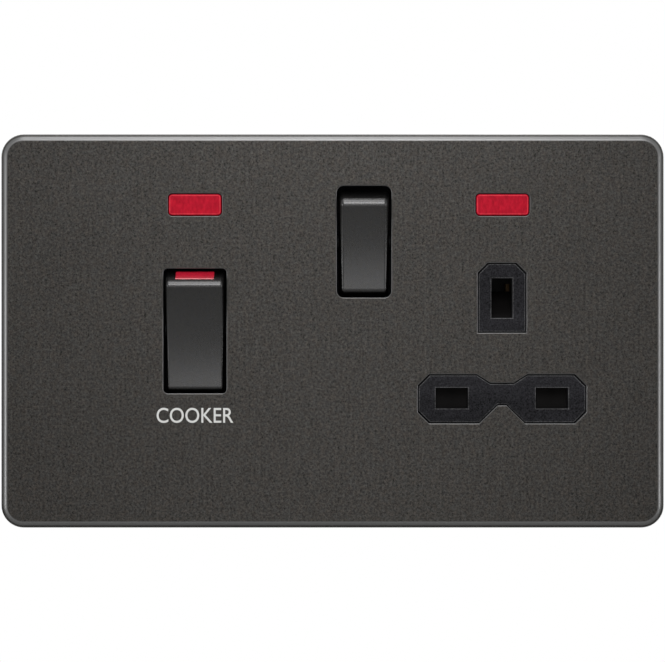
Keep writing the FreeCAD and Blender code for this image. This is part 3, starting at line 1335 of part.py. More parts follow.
# Neon indicators: a lens in the plate's window, a holder, a lamp and its resistor
def make_neons():
    for side, x in (("left", cooker_x), ("right", neon_right)):
        body = new_body(f"neon_lens_{side}")
        face = new_sketch(body, "XZ_Plane", -skin_back)
        inner_corner = neon_corner - lens_play
        draw_rounded(face, x, neon_z, neon_width - 2 * lens_play, neon_height - 2 * lens_play, inner_corner)
        front = plate_front - lens_proud
        lens = add_pad(body, face, skin_back - front)
        add_edge_feature(body, "Fillet", lens, at_depth(front), lens_round)
        flange = new_sketch(body, "XZ_Plane", -skin_back)
        draw_rectangle(flange, x, neon_z, neon_width + 2 * flange_margin, neon_height + 2 * flange_margin)
        add_pad(body, flange, flange_gauge, backwards=True)
        seat = skin_back + flange_gauge
        rear = seat + holder_depth
        body = new_body(f"neon_holder_{side}")
        shell = new_sketch(body, "XZ_Plane", -rear)
        draw_rectangle(shell, x, neon_z, holder_width, holder_height)
        add_pad(body, shell, holder_depth)
        hollow = new_sketch(body, "XZ_Plane", -seat)
        draw_rectangle(hollow, x, neon_z, holder_width - 2 * holder_wall, holder_height - 2 * holder_wall)
        add_pocket(body, hollow, holder_depth - holder_wall)
        lamp_y = seat + lamp_radius + holder_wall
        reach = (holder_width / 2 - holder_wall) - lamp_radius
        tube = add_rod("x", x - reach, lamp_y, neon_z, lamp_radius, 2 * reach)
        ends = [add_ball(x + end * reach, lamp_y, neon_z, lamp_radius) for end in (-1, 1)]
        finish(f"neon_lamp_{side}", fuse([tube] + ends))
        resistor_y = rear - holder_wall - resistor_radius - thread_play
        start = x - resistor_length / 2
        resistor = add_rod("x", start, resistor_y, neon_z, resistor_radius, resistor_length)
        finish(f"neon_resistor_{side}", resistor)


def write_pieces():
    """Checks every object, then writes each piece to a file of its own name."""
    document.recompute()
    for item in document.Objects:
        if "Invalid" in item.State or "Error" in item.State:
            raise RuntimeError(f"{item.Name} ({item.Label}) failed: {item.State}")
    os.makedirs("parts", exist_ok=True)
    for name, piece in pieces.items():
        shape = piece.Shape
        if shape.isNull() or not shape.isValid():
            raise RuntimeError(f"{name} has no valid shape")
        shape.exportStep(os.path.join("parts", f"{name}.step"))
    print(len(pieces), "pieces written")


make_front_plate()
make_front_moulding()
make_base_moulding()
make_rockers()
make_switch_contacts()
make_strips()
make_socket_contacts()
make_terminals()
make_assembly_screws()
make_shutter()
make_neons()
write_pieces()
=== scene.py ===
import json
import logging
import math
from collections.abc import Iterable, Mapping
from dataclasses import dataclass
from enum import Enum

import bmesh
import bpy
from mathutils import Matrix, Vector


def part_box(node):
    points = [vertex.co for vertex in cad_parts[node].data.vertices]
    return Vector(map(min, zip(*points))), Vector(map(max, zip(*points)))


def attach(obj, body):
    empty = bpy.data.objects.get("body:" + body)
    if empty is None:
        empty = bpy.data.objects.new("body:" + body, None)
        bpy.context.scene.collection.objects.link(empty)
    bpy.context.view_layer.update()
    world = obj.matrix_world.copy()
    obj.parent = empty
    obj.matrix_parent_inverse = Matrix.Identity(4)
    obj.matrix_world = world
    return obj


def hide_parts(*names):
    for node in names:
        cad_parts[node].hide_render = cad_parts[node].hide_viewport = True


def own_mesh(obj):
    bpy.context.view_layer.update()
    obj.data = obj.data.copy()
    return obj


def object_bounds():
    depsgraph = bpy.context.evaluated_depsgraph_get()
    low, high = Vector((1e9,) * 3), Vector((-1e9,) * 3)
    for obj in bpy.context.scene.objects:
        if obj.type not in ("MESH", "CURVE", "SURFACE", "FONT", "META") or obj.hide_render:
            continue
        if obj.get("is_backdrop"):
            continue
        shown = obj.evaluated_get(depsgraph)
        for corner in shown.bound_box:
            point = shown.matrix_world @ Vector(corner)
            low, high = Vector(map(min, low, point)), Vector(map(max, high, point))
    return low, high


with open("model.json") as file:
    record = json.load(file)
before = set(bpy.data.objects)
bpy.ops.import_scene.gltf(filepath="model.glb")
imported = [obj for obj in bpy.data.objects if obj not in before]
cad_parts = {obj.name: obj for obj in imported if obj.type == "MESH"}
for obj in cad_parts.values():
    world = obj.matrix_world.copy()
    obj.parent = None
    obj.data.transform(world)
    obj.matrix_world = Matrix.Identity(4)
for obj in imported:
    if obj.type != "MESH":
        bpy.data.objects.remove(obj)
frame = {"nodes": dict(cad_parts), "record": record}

logger = logging.getLogger("cooker_control_unit")

Colour = tuple[float, float, float]
Spot = tuple[float, float, float]
Span = tuple[float, float]

MILLIMETRE = 0.001
MERGE_DISTANCE = 1e-6
NOISE_MEAN = 0.5
NOISE_ROUGHNESS = 0.55
SECOND_FINISH = 1
PHOTO_SIZE = (665, 662)

# How far behind a flat face, in millimetres, the highlight painted on its rounded edge sets in,
# is full, begins to fade and has gone.
PAINTED_HIGHLIGHT_DEPTHS = (0.001, 0.02, 0.25, 0.5)

# A Mix node's sockets for colours: its factor, its two colours and its result.
MIX_FACTOR, MIX_FIRST, MIX_SECOND, MIX_RESULT = 0, 6, 7, 2


class Lay(Enum):
    """Which way a surface was drawn or flowed, as the squeeze of its pattern on X, Y and Z."""

    ACROSS = (0.06, 1.0, 1.0)
    UPRIGHT = (1.0, 1.0, 0.06)
    CAST = (1.0, 1.0, 1.0)


class Drive(Enum):
    """The recess in a screw's head, as the turns at which its slots lie."""

    SLOT = (0.0,)
    CROSS = (0.0, math.pi / 2)


class Value:
    """One socket of a shader, on which sums can be written."""

    def __init__(self, shader: "Shader", socket: bpy.types.NodeSocket) -> None:
        """Wraps a socket.

        Args:
            shader: The shader that the socket belongs to.
            socket: The output socket.
        """
        self.shader = shader
        self.socket = socket

    def _sum(self, operation: str, first: "Value | float", second: "Value | float") -> "Value":
        """Adds the Math node for one step of a sum.

        Args:
            operation: The Math node's operation.
            first: Its first value.
            second: Its second value.

        Returns:
            The result's socket.
        """
        node = self.shader.node("ShaderNodeMath", {"operation": operation}, {0: first, 1: second})
        return Value(self.shader, node.outputs[0])

    def __add__(self, other: "Value | float") -> "Value":
        """Adds."""
        return self._sum("ADD", self, other)

    def __radd__(self, other: float) -> "Value":
        """Adds to a plain number."""
        return self._sum("ADD", other, self)

    def __sub__(self, other: "Value | float") -> "Value":
        """Subtracts."""
        return self._sum("SUBTRACT", self, other)

    def __rsub__(self, other: float) -> "Value":
        """Subtracts from a plain number."""
        return self._sum("SUBTRACT", other, self)

    def __mul__(self, other: "Value | float") -> "Value":
        """Multiplies."""
        return self._sum("MULTIPLY", self, other)

    def __rmul__(self, other: float) -> "Value":
        """Multiplies a plain number."""
        return self._sum("MULTIPLY", other, self)

    def most(self, other: "Value | float") -> "Value":
        """Takes the larger of two values."""
        return self._sum("MAXIMUM", self, other)

    def over(self, limit: float) -> "Value":
        """Gives 1 where the value is over a limit, and 0 elsewhere."""
        return self._sum("GREATER_THAN", self, limit)

    def swing(self, share: float) -> "Value":
        """Turns a noise into one that swings about 0 by a share."""
        return share * (self - NOISE_MEAN)

    def spread(self, span: Span) -> "Value":
        """Spreads a noise from a lowest number over a range."""
        return span[0] + span[1] * self


class Shader:
    """Builds the nodes of one finish or of the surrounding light."""

    def __init__(self, tree: bpy.types.NodeTree) -> None:
        """Empties a node tree.

        Args:
            tree: The tree to build in.
        """
        self.tree = tree
        self.tree.nodes.clear()

    @classmethod
    def of_finish(cls, name: str) -> tuple["Shader", bpy.types.Material]:
        """Starts a new finish.

        Args:
            name: The finish's name.

        Returns:
            Its shader and its material.
        """
        material = bpy.data.materials.new(name)
        material.use_nodes = True
        return cls(material.node_tree), material

    def node(
        self,
        kind: str,
        settings: Mapping[str, object] | None = None,
        sockets: Mapping[str | int, object] | None = None,
    ) -> bpy.types.Node:
        """Adds one node.

        Args:
            kind: The node's type.
            settings: Its settings, such as an operation, or a ramp's stops, which are set first.
            sockets: A value or a link for each of its input sockets.

        Returns:
            The new node.
        """
        made = self.tree.nodes.new(kind)
        for name, value in (settings or {}).items():
            if name == "stops":
                self._set_stops(made.color_ramp, value)
            else:
                setattr(made, name, value)
        for key, value in (sockets or {}).items():
            if isinstance(value, Value):
                self.tree.links.new(value.socket, made.inputs[key])
            else:
                made.inputs[key].default_value = value
        return made

    @staticmethod
    def _set_stops(ramp: bpy.types.ColorRamp, stops: Iterable[tuple[float, Colour]]) -> None:
        """Writes a ramp's stops.

        Args:
            ramp: The ramp.
            stops: Each stop's place and colour.
        """
        wanted = list(stops)
        while len(ramp.elements) < len(wanted):
            ramp.elements.new(1.0)
        for element, (place, colour) in zip(ramp.elements, wanted):
            element.position = place
            element.color = (*colour, 1.0)

    def place(self, stretch: Spot = (1.0, 1.0, 1.0), centre: Spot = (0.0, 0.0, 0.0)) -> Value:
        """Gives the place on the object, in metres.

        Args:
            stretch: How far the pattern's cells are squeezed along each axis.
            centre: The point that becomes the pattern's middle.

        Returns:
            The vector's socket.
        """
        source = self.node("ShaderNodeTexCoord")
        shift = tuple(-middle * factor for middle, factor in zip(centre, stretch))
        spot = Value(self, source.outputs["Object"])
        mapping = self.node(
            "ShaderNodeMapping",
            {"vector_type": "POINT"},
            {"Vector": spot, "Scale": stretch, "Location": shift},
        )
        return Value(self, mapping.outputs["Vector"])

    def along(self, place: Value, axis: str) -> Value:
        """Takes one coordinate of a place."""
        node = self.node("ShaderNodeSeparateXYZ", None, {"Vector": place})
        return Value(self, node.outputs[axis])

    def noise(self, place: Value, cell: float, detail: float) -> Value:
        """Adds a noise between 0 and 1.

        Args:
            place: Where it is read.
            cell: The size of its cells, in metres.
            detail: How many finer layers it has.

        Returns:
            The noise.
        """
        node = self.node(
            "ShaderNodeTexNoise",
            {"noise_dimensions": "3D"},
            {"Vector": place, "Scale": 1.0 / cell, "Detail": detail, "Roughness": NOISE_ROUGHNESS},
        )
        return Value(self, node.outputs[0])

    def ramp(self, value: Value, stops: Iterable[tuple[float, Colour]]) -> Value:
        """Turns a value into a colour along a ramp."""
        node = self.node("ShaderNodeValToRGB", {"stops": stops}, {0: value})
        return Value(self, node.outputs["Color"])

    def tinted(self, colour: Colour | Value, tone: Value) -> Value:
        """Multiplies a colour by a tone.

        Args:
            colour: The plain colour, or a colour's socket.
            tone: The factor, about 1.

        Returns:
            The colour's socket.
        """
        first = colour if isinstance(colour, Value) else (*colour, 1.0)
        node = self.node(
            "ShaderNodeMix",
            {"data_type": "RGBA", "blend_type": "MULTIPLY", "clamp_factor": True},
            {MIX_FACTOR: 1.0, MIX_FIRST: first, MIX_SECOND: tone},
        )
        return Value(self, node.outputs[MIX_RESULT])

    def mixed(self, share: Value, first: Colour | Value, second: Colour | Value) -> Value:
        """Mixes two colours.

        Args:
            share: The second colour's share.
            first: The colour at 0.
            second: The colour at 1.

        Returns:
            The colour's socket.
        """
        ends = [end if isinstance(end, Value) else (*end, 1.0) for end in (first, second)]
        sockets = {MIX_FACTOR: share, MIX_FIRST: ends[0], MIX_SECOND: ends[1]}
        node = self.node("ShaderNodeMix", {"data_type": "RGBA"}, sockets)
        return Value(self, node.outputs[MIX_RESULT])

    def relief(self, height: Value, depth: float, strength: float) -> Value:
        """Turns a height into a bumped normal.

        Args:
            height: The height, from 0 to 1.
            depth: What a height of 1 stands for, in metres.
            strength: How much of it shows.

        Returns:
            The normal.
        """
        sockets = {"Height": height, "Distance": depth, "Strength": strength}
        node = self.node("ShaderNodeBump", None, sockets)
        return Value(self, node.outputs["Normal"])

    def painted_highlight_share(self, face: float) -> Value:
        """Gives 1 on the rounded edges just behind a flat face, where a highlight is painted, and
        0 elsewhere.

        Args:
            face: Where the flat face lies along Y.

        Returns:
            The share of the painted highlight.
        """
        # The mask for a highlight painted by depth behind the flat face.
        depth = (self.along(self.place(), "Y") - face) * (1.0 / MILLIMETRE)
        flat, edge = (0.0, 0.0, 0.0), (1.0, 1.0, 1.0)
        return self.ramp(depth, zip(PAINTED_HIGHLIGHT_DEPTHS, (flat, edge, edge, flat)))

    def background_rays(self) -> Value:
        """Gives 1 for the rays that see the background: straight, mirrored or through glass.

        Returns:
            The rays' share, 0 or 1.
        """
        path = self.node("ShaderNodeLightPath")
        seen = Value(self, path.outputs["Is Camera Ray"])
        for ray in ("Is Glossy Ray", "Is Transmission Ray"):
            seen = seen.most(Value(self, path.outputs[ray]))
        return seen

    def skin(self, sockets: Mapping[str | int, object]) -> None:
        """Ends the finish with its surface.

        Args:
            sockets: The values and links of the Principled shader.
        """
        surface = self.node("ShaderNodeBsdfPrincipled", None, sockets)
        self.node("ShaderNodeOutputMaterial", None, {"Surface": Value(self, surface.outputs[0])})


# The finishes. Their cells and depths are in metres, and their other numbers are shares.


@dataclass(frozen=True)
class CoatedMetal:
    """Dark metallic coating on a pressed sheet: mottled flakes, dark specks and faint streaks.

    Where a sheet's flat face is named, a pale highlight is painted on the rounded edges just
    behind it.
    """

    name: str
    colour: Colour
    warm: Colour
    lay: Lay
    roughness: float
    variation: float
    specks: float
    streaks: float
    metallic: float = 0.75
    gloss: float = 0.3
    texture: float = 0.22
    texture_depth: float = 0.00004
    # The colour of the highlight painted on the rounded edges behind the flat face.
    edge: Colour = (0.115, 0.115, 0.115)
    flake_cell: float = 0.00055
    flake_height: float = 0.3
    grain_scale: float = 0.45
    grain_height: float = 0.5
    grain_roughness: float = 0.14
    streak_height: float = 0.2
    speck_limit: float = 0.4
    speck_gain: float = 4.0
    warm_scale: float = 1.6
    warm_centre: Spot = (0.05, 0.0, 0.02)
    warm_limit: float = 0.3
    warm_gain: float = 2.2
    cloud_cell: float = 0.014
    cloud_tone: float = 0.1
    cloud_roughness: float = 0.06

    def build(self, face: float | None = None) -> bpy.types.Material:
        """Makes the material.

        Args:
            face: Where the sheet's flat face lies along Y, if a highlight is painted on its
                rounded edges.

        Returns:
            The material.
        """
        shader, material = Shader.of_finish(self.name)
        flake = shader.noise(shader.place(), self.flake_cell, detail=1.0)
        grain = shader.noise(shader.place(), self.flake_cell * self.grain_scale, detail=2.0)
        streak = shader.noise(shader.place(self.lay.value), self.flake_cell, detail=2.0)
        warm_place = shader.place(centre=self.warm_centre)
        hue = shader.noise(warm_place, self.flake_cell * self.warm_scale, detail=1.0)
        cloud = shader.noise(shader.place(), self.cloud_cell, detail=1.0)
        speck = (self.speck_limit - grain).most(0.0) * self.speck_gain
        tone = 1.0 + self.variation * (flake + grain - 1.0)
        tone = tone + streak.swing(self.streaks) + cloud.swing(self.cloud_tone)
        warmth = (hue - self.warm_limit) * self.warm_gain
        colour = shader.tinted(
            shader.mixed(warmth, self.colour, self.warm), tone - self.specks * speck
        )
        # Paints a highlight on the rounded edges behind the flat face.
        if face is not None:
            colour = shader.mixed(shader.painted_highlight_share(face), colour, self.edge)
        height = self.grain_height * grain + self.flake_height * flake
        height = height + self.streak_height * streak
        roughness = self.roughness + grain.swing(self.grain_roughness)
        shader.skin(
            {
                "Base Color": colour,
                "Metallic": self.metallic,
                "Roughness": roughness + cloud.swing(self.cloud_roughness),
                "Specular IOR Level": self.gloss,
                "Normal": shader.relief(height, self.texture_depth, self.texture),
            }
        )
        return material


@dataclass(frozen=True)
class Moulded:
    """Moulded plastic with the fine spark-eroded grain of its tool.

    Where a moulding's flat face is named, a paler highlight is painted on its rounded edges.
    """

    name: str
    colour: Colour
    gloss: float
    roughness: float = 0.55
    variation: float = 0.25
    # The colour of the highlight painted on the rounded edges behind the flat face.
    edge: Colour = (0.06, 0.06, 0.062)
    grain_cell: float = 0.0003
    grain_depth: float = 0.00003
    grain_strength: float = 0.3
    grain_roughness: float = 0.2
    flow_cell: float = 0.006
    flow_share: float = 0.5
    flow_roughness: float = 0.1

    def build(self, face: float | None = None) -> bpy.types.Material:
        """Makes the material.

        Args:
            face: Where the moulding's flat face lies along Y, if a highlight is painted on its
                rounded edges.

        Returns:
            The material.
        """
        shader, material = Shader.of_finish(self.name)
        grain = shader.noise(shader.place(), self.grain_cell, detail=2.0)
        flow = shader.noise(shader.place(Lay.ACROSS.value), self.flow_cell, detail=2.0)
        tone = 1.0 + grain.swing(self.variation) + flow.swing(self.flow_share * self.variation)
        roughness = self.roughness + grain.swing(self.grain_roughness)
        colour = self.colour
        # Paints a highlight on the rounded edges behind the flat face.
        if face is not None:
            colour = shader.mixed(shader.painted_highlight_share(face), self.colour, self.edge)
        shader.skin(
            {
                "Base Color": shader.tinted(colour, tone),
                "Roughness": roughness + flow.swing(self.flow_roughness),
                "Specular IOR Level": self.gloss,
                "Normal": shader.relief(grain, self.grain_depth, self.grain_strength),
            }
        )
        return material


@dataclass(frozen=True)
class Stock:
    """Bare or plated metal, drawn, blanked or cut from stock."""

    name: str
    colour: Colour
    tarnish: Colour
    lay: Lay
    roughness: float = 0.32
    drawn_cell: float = 0.0004
    drawn_shade: Span = (0.85, 0.3)
    drawn_roughness: float = 0.22
    drawn_depth: float = 0.00003
    drawn_strength: float = 0.3
    stain_cell: float = 0.004
    stain_limit: float = 0.45
    stain_gain: float = 1.6
    stain_roughness: float = 0.5

    def build(self) -> bpy.types.Material:
        """Makes the material.

        Returns:
            The material.
        """
        shader, material = Shader.of_finish(self.name)
        drawn = shader.noise(shader.place(self.lay.value), self.drawn_cell, detail=3.0)
        stain = shader.noise(shader.place(), self.stain_cell, detail=4.0)
        blotch = (stain - self.stain_limit).most(0.0) * self.stain_gain
        roughness = self.roughness + drawn.swing(self.drawn_roughness)
        colour = shader.mixed(blotch, self.colour, self.tarnish)
        shader.skin(
            {
                "Base Color": shader.tinted(colour, drawn.spread(self.drawn_shade)),
                "Metallic": 1.0,
                "Roughness": roughness + self.stain_roughness * blotch,
                "Normal": shader.relief(drawn, self.drawn_depth, self.drawn_strength),
            }
        )
        return material


@dataclass(frozen=True)
class ClearRed:
    """Clear red moulding, with a glow painted into its colour that makes it lighter towards its
    middle.
    """

    name: str
    # The colour at the edge, and the lighter colour of the painted glow in the middle.
    deep: Colour
    lit: Colour
    centre: Spot
    reach: Spot
    roughness: float = 0.24
    gloss: float = 0.02
    glow_gain: float = 1.1
    haze_cell: float = 0.0016
    haze_gain: float = 0.9
    haze_roughness: float = 0.08
    haze_depth: float = 0.00003
    haze_strength: float = 0.15
    prism_cell: float = 0.0005
    prism_stretch: Spot = (1.0, 1.0, 0.4)
    prism_tone: float = 0.8

    def build(self) -> bpy.types.Material:
        """Makes the material.

        Returns:
            The material.
        """
        shader, material = Shader.of_finish(self.name)
        stretch = tuple(1.0 / size for size in self.reach)
        # Painted glow: lighter towards the middle, fading out over the reach.
        glow = shader.node(
            "ShaderNodeTexGradient",
            {"gradient_type": "SPHERICAL"},
            {"Vector": shader.place(stretch, self.centre)},
        )
        haze = shader.noise(shader.place(), self.haze_cell, detail=3.0)
        prisms = shader.noise(shader.place(self.prism_stretch), self.prism_cell, detail=1.0)
        share = Value(shader, glow.outputs[1]) * self.glow_gain + haze.swing(self.haze_gain)
        colour = shader.mixed(share, self.deep, self.lit)
        shader.skin(
            {
                "Base Color": shader.tinted(colour, 1.0 + prisms.swing(self.prism_tone)),
                "Roughness": self.roughness + haze.swing(self.haze_roughness),
                "Specular IOR Level": self.gloss,
                "Normal": shader.relief(haze, self.haze_depth, self.haze_strength),
            }
        )
        return material


@dataclass(frozen=True)
class LampGlass:
    """Thin glass of a neon lamp."""

    name: str
    colour: Colour
    clearness: float = 0.85
    ripple_cell: float = 0.002
    ripple_shade: Span = (0.95, 0.1)
    ripple_roughness: Span = (0.04, 0.04)
    ripple_depth: float = 0.00005
    ripple_strength: float = 0.1

    def build(self) -> bpy.types.Material:
        """Makes the material.

        Returns:
            The material.
        """
        shader, material = Shader.of_finish(self.name)
        ripple = shader.noise(shader.place(), self.ripple_cell, detail=1.0)
        shader.skin(
            {
                "Base Color": shader.tinted(self.colour, ripple.spread(self.ripple_shade)),
                "Roughness": ripple.spread(self.ripple_roughness),
                "Transmission Weight": self.clearness,
                "Normal": shader.relief(ripple, self.ripple_depth, self.ripple_strength),
            }
        )
        return material


@dataclass(frozen=True)
class Banded:
    """Lacquered resistor body with colour bands round it."""

    name: str
    colour: Colour
    bands: tuple[Colour, ...]
    start: float
    pitch: float
    width: float
    speckle_cell: float = 0.0005
    speckle_shade: Span = (0.9, 0.2)
    speckle_roughness: Span = (0.3, 0.1)
    speckle_coat: Span = (0.3, 0.1)
    speckle_depth: float = 0.00003
    speckle_strength: float = 0.15

    def build(self) -> bpy.types.Material:
        """Makes the material.

        Returns:
            The material.
        """
        shader, material = Shader.of_finish(self.name)
        distance = shader.along(shader.place(), "X")
        speckle = shader.noise(shader.place(), self.speckle_cell, detail=2.0)
        colour: Colour | Value = self.colour
        for number, band in enumerate(self.bands):
            middle = self.start + number * self.pitch
            past_start = (distance - (middle - self.width / 2)).over(0.0)
            before_end = ((middle + self.width / 2) - distance).over(0.0)
            colour = shader.mixed(past_start * before_end, colour, band)
        shader.skin(
            {
                "Base Color": shader.tinted(colour, speckle.spread(self.speckle_shade)),
                "Roughness": speckle.spread(self.speckle_roughness),
                "Coat Weight": speckle.spread(self.speckle_coat),
                "Normal": shader.relief(speckle, self.speckle_depth, self.speckle_strength),
            }
        )
        return material


@dataclass(frozen=True)
class Ink:
    """Pad-printed ink, slightly uneven."""

    name: str
    colour: Colour
    gloss: float = 0.2
    mottle_cell: float = 0.0003
    mottle_shade: Span = (0.9, 0.2)
    mottle_roughness: Span = (0.55, 0.1)
    mottle_depth: float = 0.00001
    mottle_strength: float = 0.2

    def build(self) -> bpy.types.Material:
        """Makes the material.

        Returns:
            The material.
        """
        shader, material = Shader.of_finish(self.name)
        mottle = shader.noise(shader.place(), self.mottle_cell, detail=3.0)
        shader.skin(
            {
                "Base Color": shader.tinted(self.colour, mottle.spread(self.mottle_shade)),
                "Roughness": mottle.spread(self.mottle_roughness),
                "Specular IOR Level": self.gloss,
                "Normal": shader.relief(mottle, self.mottle_depth, self.mottle_strength),
            }
        )
        return material


@dataclass(frozen=True)
class PaleFloor:
    """Matt pale floor, very slightly clouded."""

    name: str
    colour: Colour
    gloss: float = 0.1
    roughness: float = 0.8
    cloud_cell: float = 0.4
    cloud_shade: Span = (0.98, 0.04)

    def build(self) -> bpy.types.Material:
        """Makes the material.

        Returns:
            The material.
        """
        shader, material = Shader.of_finish(self.name)
        cloud = shader.noise(shader.place(), self.cloud_cell, detail=2.0)
        shader.skin(
            {
                "Base Color": shader.tinted(self.colour, cloud.spread(self.cloud_shade)),
                "Roughness": self.roughness,
                "Specular IOR Level": self.gloss,
            }
        )
        return material


def dress(material: bpy.types.Material, nodes: Iterable[str]) -> None:
    """Gives CAD nodes their finish.

    Args:
        material: The finish.
        nodes: The nodes' names.
    """
    for name in nodes:
        for slot in frame["nodes"][name].material_slots:
            slot.material = material


def link(item: bpy.types.Object) -> None:
    """Puts an object into the scene."""
    bpy.context.scene.collection.objects.link(item)


def mesh_of(node: str) -> bmesh.types.BMesh:
    """Copies a CAD node's mesh, with its loose triangles joined.

    Args:
        node: The node's name.

    Returns:
        The copy, which the caller frees.
    """
    mesh = bmesh.new()
    mesh.from_mesh(frame["nodes"][node].data)
    bmesh.ops.remove_doubles(mesh, verts=mesh.verts, dist=MERGE_DISTANCE)
    return mesh


def new_piece(
    name: str, mesh: bmesh.types.BMesh, finishes: Iterable[bpy.types.Material], body: str
) -> bpy.types.Object:
    """Makes a finished piece from a mesh that is already in place.

    Args:
        name: The piece's name.
        mesh: Its mesh, which is freed.
        finishes: Its materials, in the order of the mesh's material numbers.
        body: The body that it rides on.

    Returns:
        The new object.
    """
    bmesh.ops.remove_doubles(mesh, verts=mesh.verts, dist=MERGE_DISTANCE)
    bmesh.ops.recalc_face_normals(mesh, faces=mesh.faces)
    data = bpy.data.meshes.new(name)
    mesh.to_mesh(data)
    mesh.free()
    for finish in finishes:
        data.materials.append(finish)
    piece = bpy.data.objects.new(name, data)
    link(piece)
    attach(piece, body)
    logger.info("%s: %d faces", name, len(data.polygons))
    return piece


@dataclass
class FacePlate:
    """The plate, the face of the moulding behind it, and the word below the cooker rocker."""

    word: str = "COOKER"
    word_width: float = 17.0 * MILLIMETRE
    word_height: float = 3.35 * MILLIMETRE
    word_drop: float = 18.7 * MILLIMETRE
    word_weight: float = 0.004
    letter_steps: int = 6
    letter_depth: float = 0.5
    ink_depth: float = 0.015 * MILLIMETRE
    plate_finish: CoatedMetal = CoatedMetal(
        "dark_plate",
        (0.0243, 0.0235, 0.022),
        (0.0262, 0.023, 0.0199),
        Lay.UPRIGHT,
        roughness=0.33,
        variation=2.1,
        specks=0.6,
        streaks=0.55,
    )
    face_finish: Moulded = Moulded(
        "black_face", (0.0138, 0.0137, 0.0155), roughness=0.6, variation=3.4, gloss=0.03
    )
    ink_finish: Ink = Ink("pale_ink", (0.52, 0.52, 0.51))

    def dress_nodes(self) -> None:
        """Gives the plate and the moulding their finishes."""
        # Both finishes paint a highlight on the rounded edges behind the front faces.
        dress(self.plate_finish.build(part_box("front_plate")[0].y), ["front_plate"])
        dress(self.face_finish.build(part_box("front_moulding")[0].y), ["front_moulding"])

    def letters(self) -> bmesh.types.BMesh:
        """Sets the word in a plain face, upright in X and Y and at no particular size.

        Returns:
            The letters' mesh.
        """
        curve = bpy.data.curves.new("cooker_word", "FONT")
        curve.body = self.word
        curve.align_x = "CENTER"
        curve.resolution_u = self.letter_steps
        curve.extrude = self.letter_depth
        curve.offset = self.word_weight
        source = bpy.data.objects.new("cooker_word_curve", curve)
        link(source)
        bpy.context.view_layer.update()
        mesh = bmesh.new()
        mesh.from_mesh(bpy.data.meshes.new_from_object(source))
        bpy.data.objects.remove(source)
        return mesh

    def print_word(self) -> None:
        """Prints the word on the plate, as wide and high as it is there."""
        mesh = self.letters()
        low = Vector([min(vertex.co[axis] for vertex in mesh.verts) for axis in range(3)])
        high = Vector([max(vertex.co[axis] for vertex in mesh.verts) for axis in range(3)])
        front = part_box("front_plate")[0].y
        middle = sum(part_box("cooker_rocker_cap"), Vector()) / 2
        size = high - low
        centre = (low + high) / 2
        upright = Matrix.Rotation(math.pi / 2, 3, "X")
        scale = (self.word_width / size.x, self.word_height / size.y, self.ink_depth * 2 / size.z)
        bmesh.ops.translate(mesh, verts=mesh.verts, vec=-centre)
        bmesh.ops.scale(mesh, verts=mesh.verts, vec=scale)
        bmesh.ops.rotate(mesh, verts=mesh.verts, matrix=upright)
        bmesh.ops.translate(mesh, verts=mesh.verts, vec=(middle.x, front, -self.word_drop))
        new_piece("cooker_word", mesh, [self.ink_finish.build()], "housing")

    def build(self) -> None:
        """Dresses the sub-assembly."""
        self.dress_nodes()
        self.print_word()


@dataclass
class Rockers:
    """Metal rocker caps, their dollies and plungers, and the flag in the cooker rocker."""

    cap_finish: CoatedMetal = CoatedMetal(
        "satin_rocker",
        (0.045, 0.045, 0.046),
        (0.046, 0.045, 0.044),
        Lay.UPRIGHT,
        metallic=1.0,
        roughness=0.29,
        gloss=0.0,
        variation=0.12,
        specks=0.0,
        streaks=0.1,
        texture=0.05,
    )
    dolly_finish: Moulded = Moulded("black_dolly", (0.01, 0.01, 0.011), gloss=0.1)
    plunger_finish: Moulded = Moulded("natural_nylon", (0.68, 0.66, 0.6), roughness=0.4, gloss=0.4)
    # The flag's colours; its lighter middle is a painted glow.
    flag_deep: Colour = (0.4, 0.008, 0.024)
    flag_lit: Colour = (0.45, 0.01, 0.03)
    flag_roughness: float = 0.3
    flag_gloss: float = 0.6

    def build(self) -> None:
        """Dresses the sub-assembly."""
        dress(self.cap_finish.build(), ["cooker_rocker_cap", "socket_rocker_cap"])
        dress(self.dolly_finish.build(), ["cooker_dolly", "socket_dolly"])
        plungers = ["cooker_plunger_line", "cooker_plunger_neutral", "socket_plunger"]
        dress(self.plunger_finish.build(), plungers)
        low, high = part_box("cooker_flag")
        # Paints a glow that makes the flag lighter towards its middle.
        flag = ClearRed(
            "red_flag",
            self.flag_deep,
            self.flag_lit,
            centre=tuple((low + high) / 2),
            reach=tuple(high - low),
            roughness=self.flag_roughness,
            gloss=self.flag_gloss,
        )
        dress(flag.build(), ["cooker_flag"])


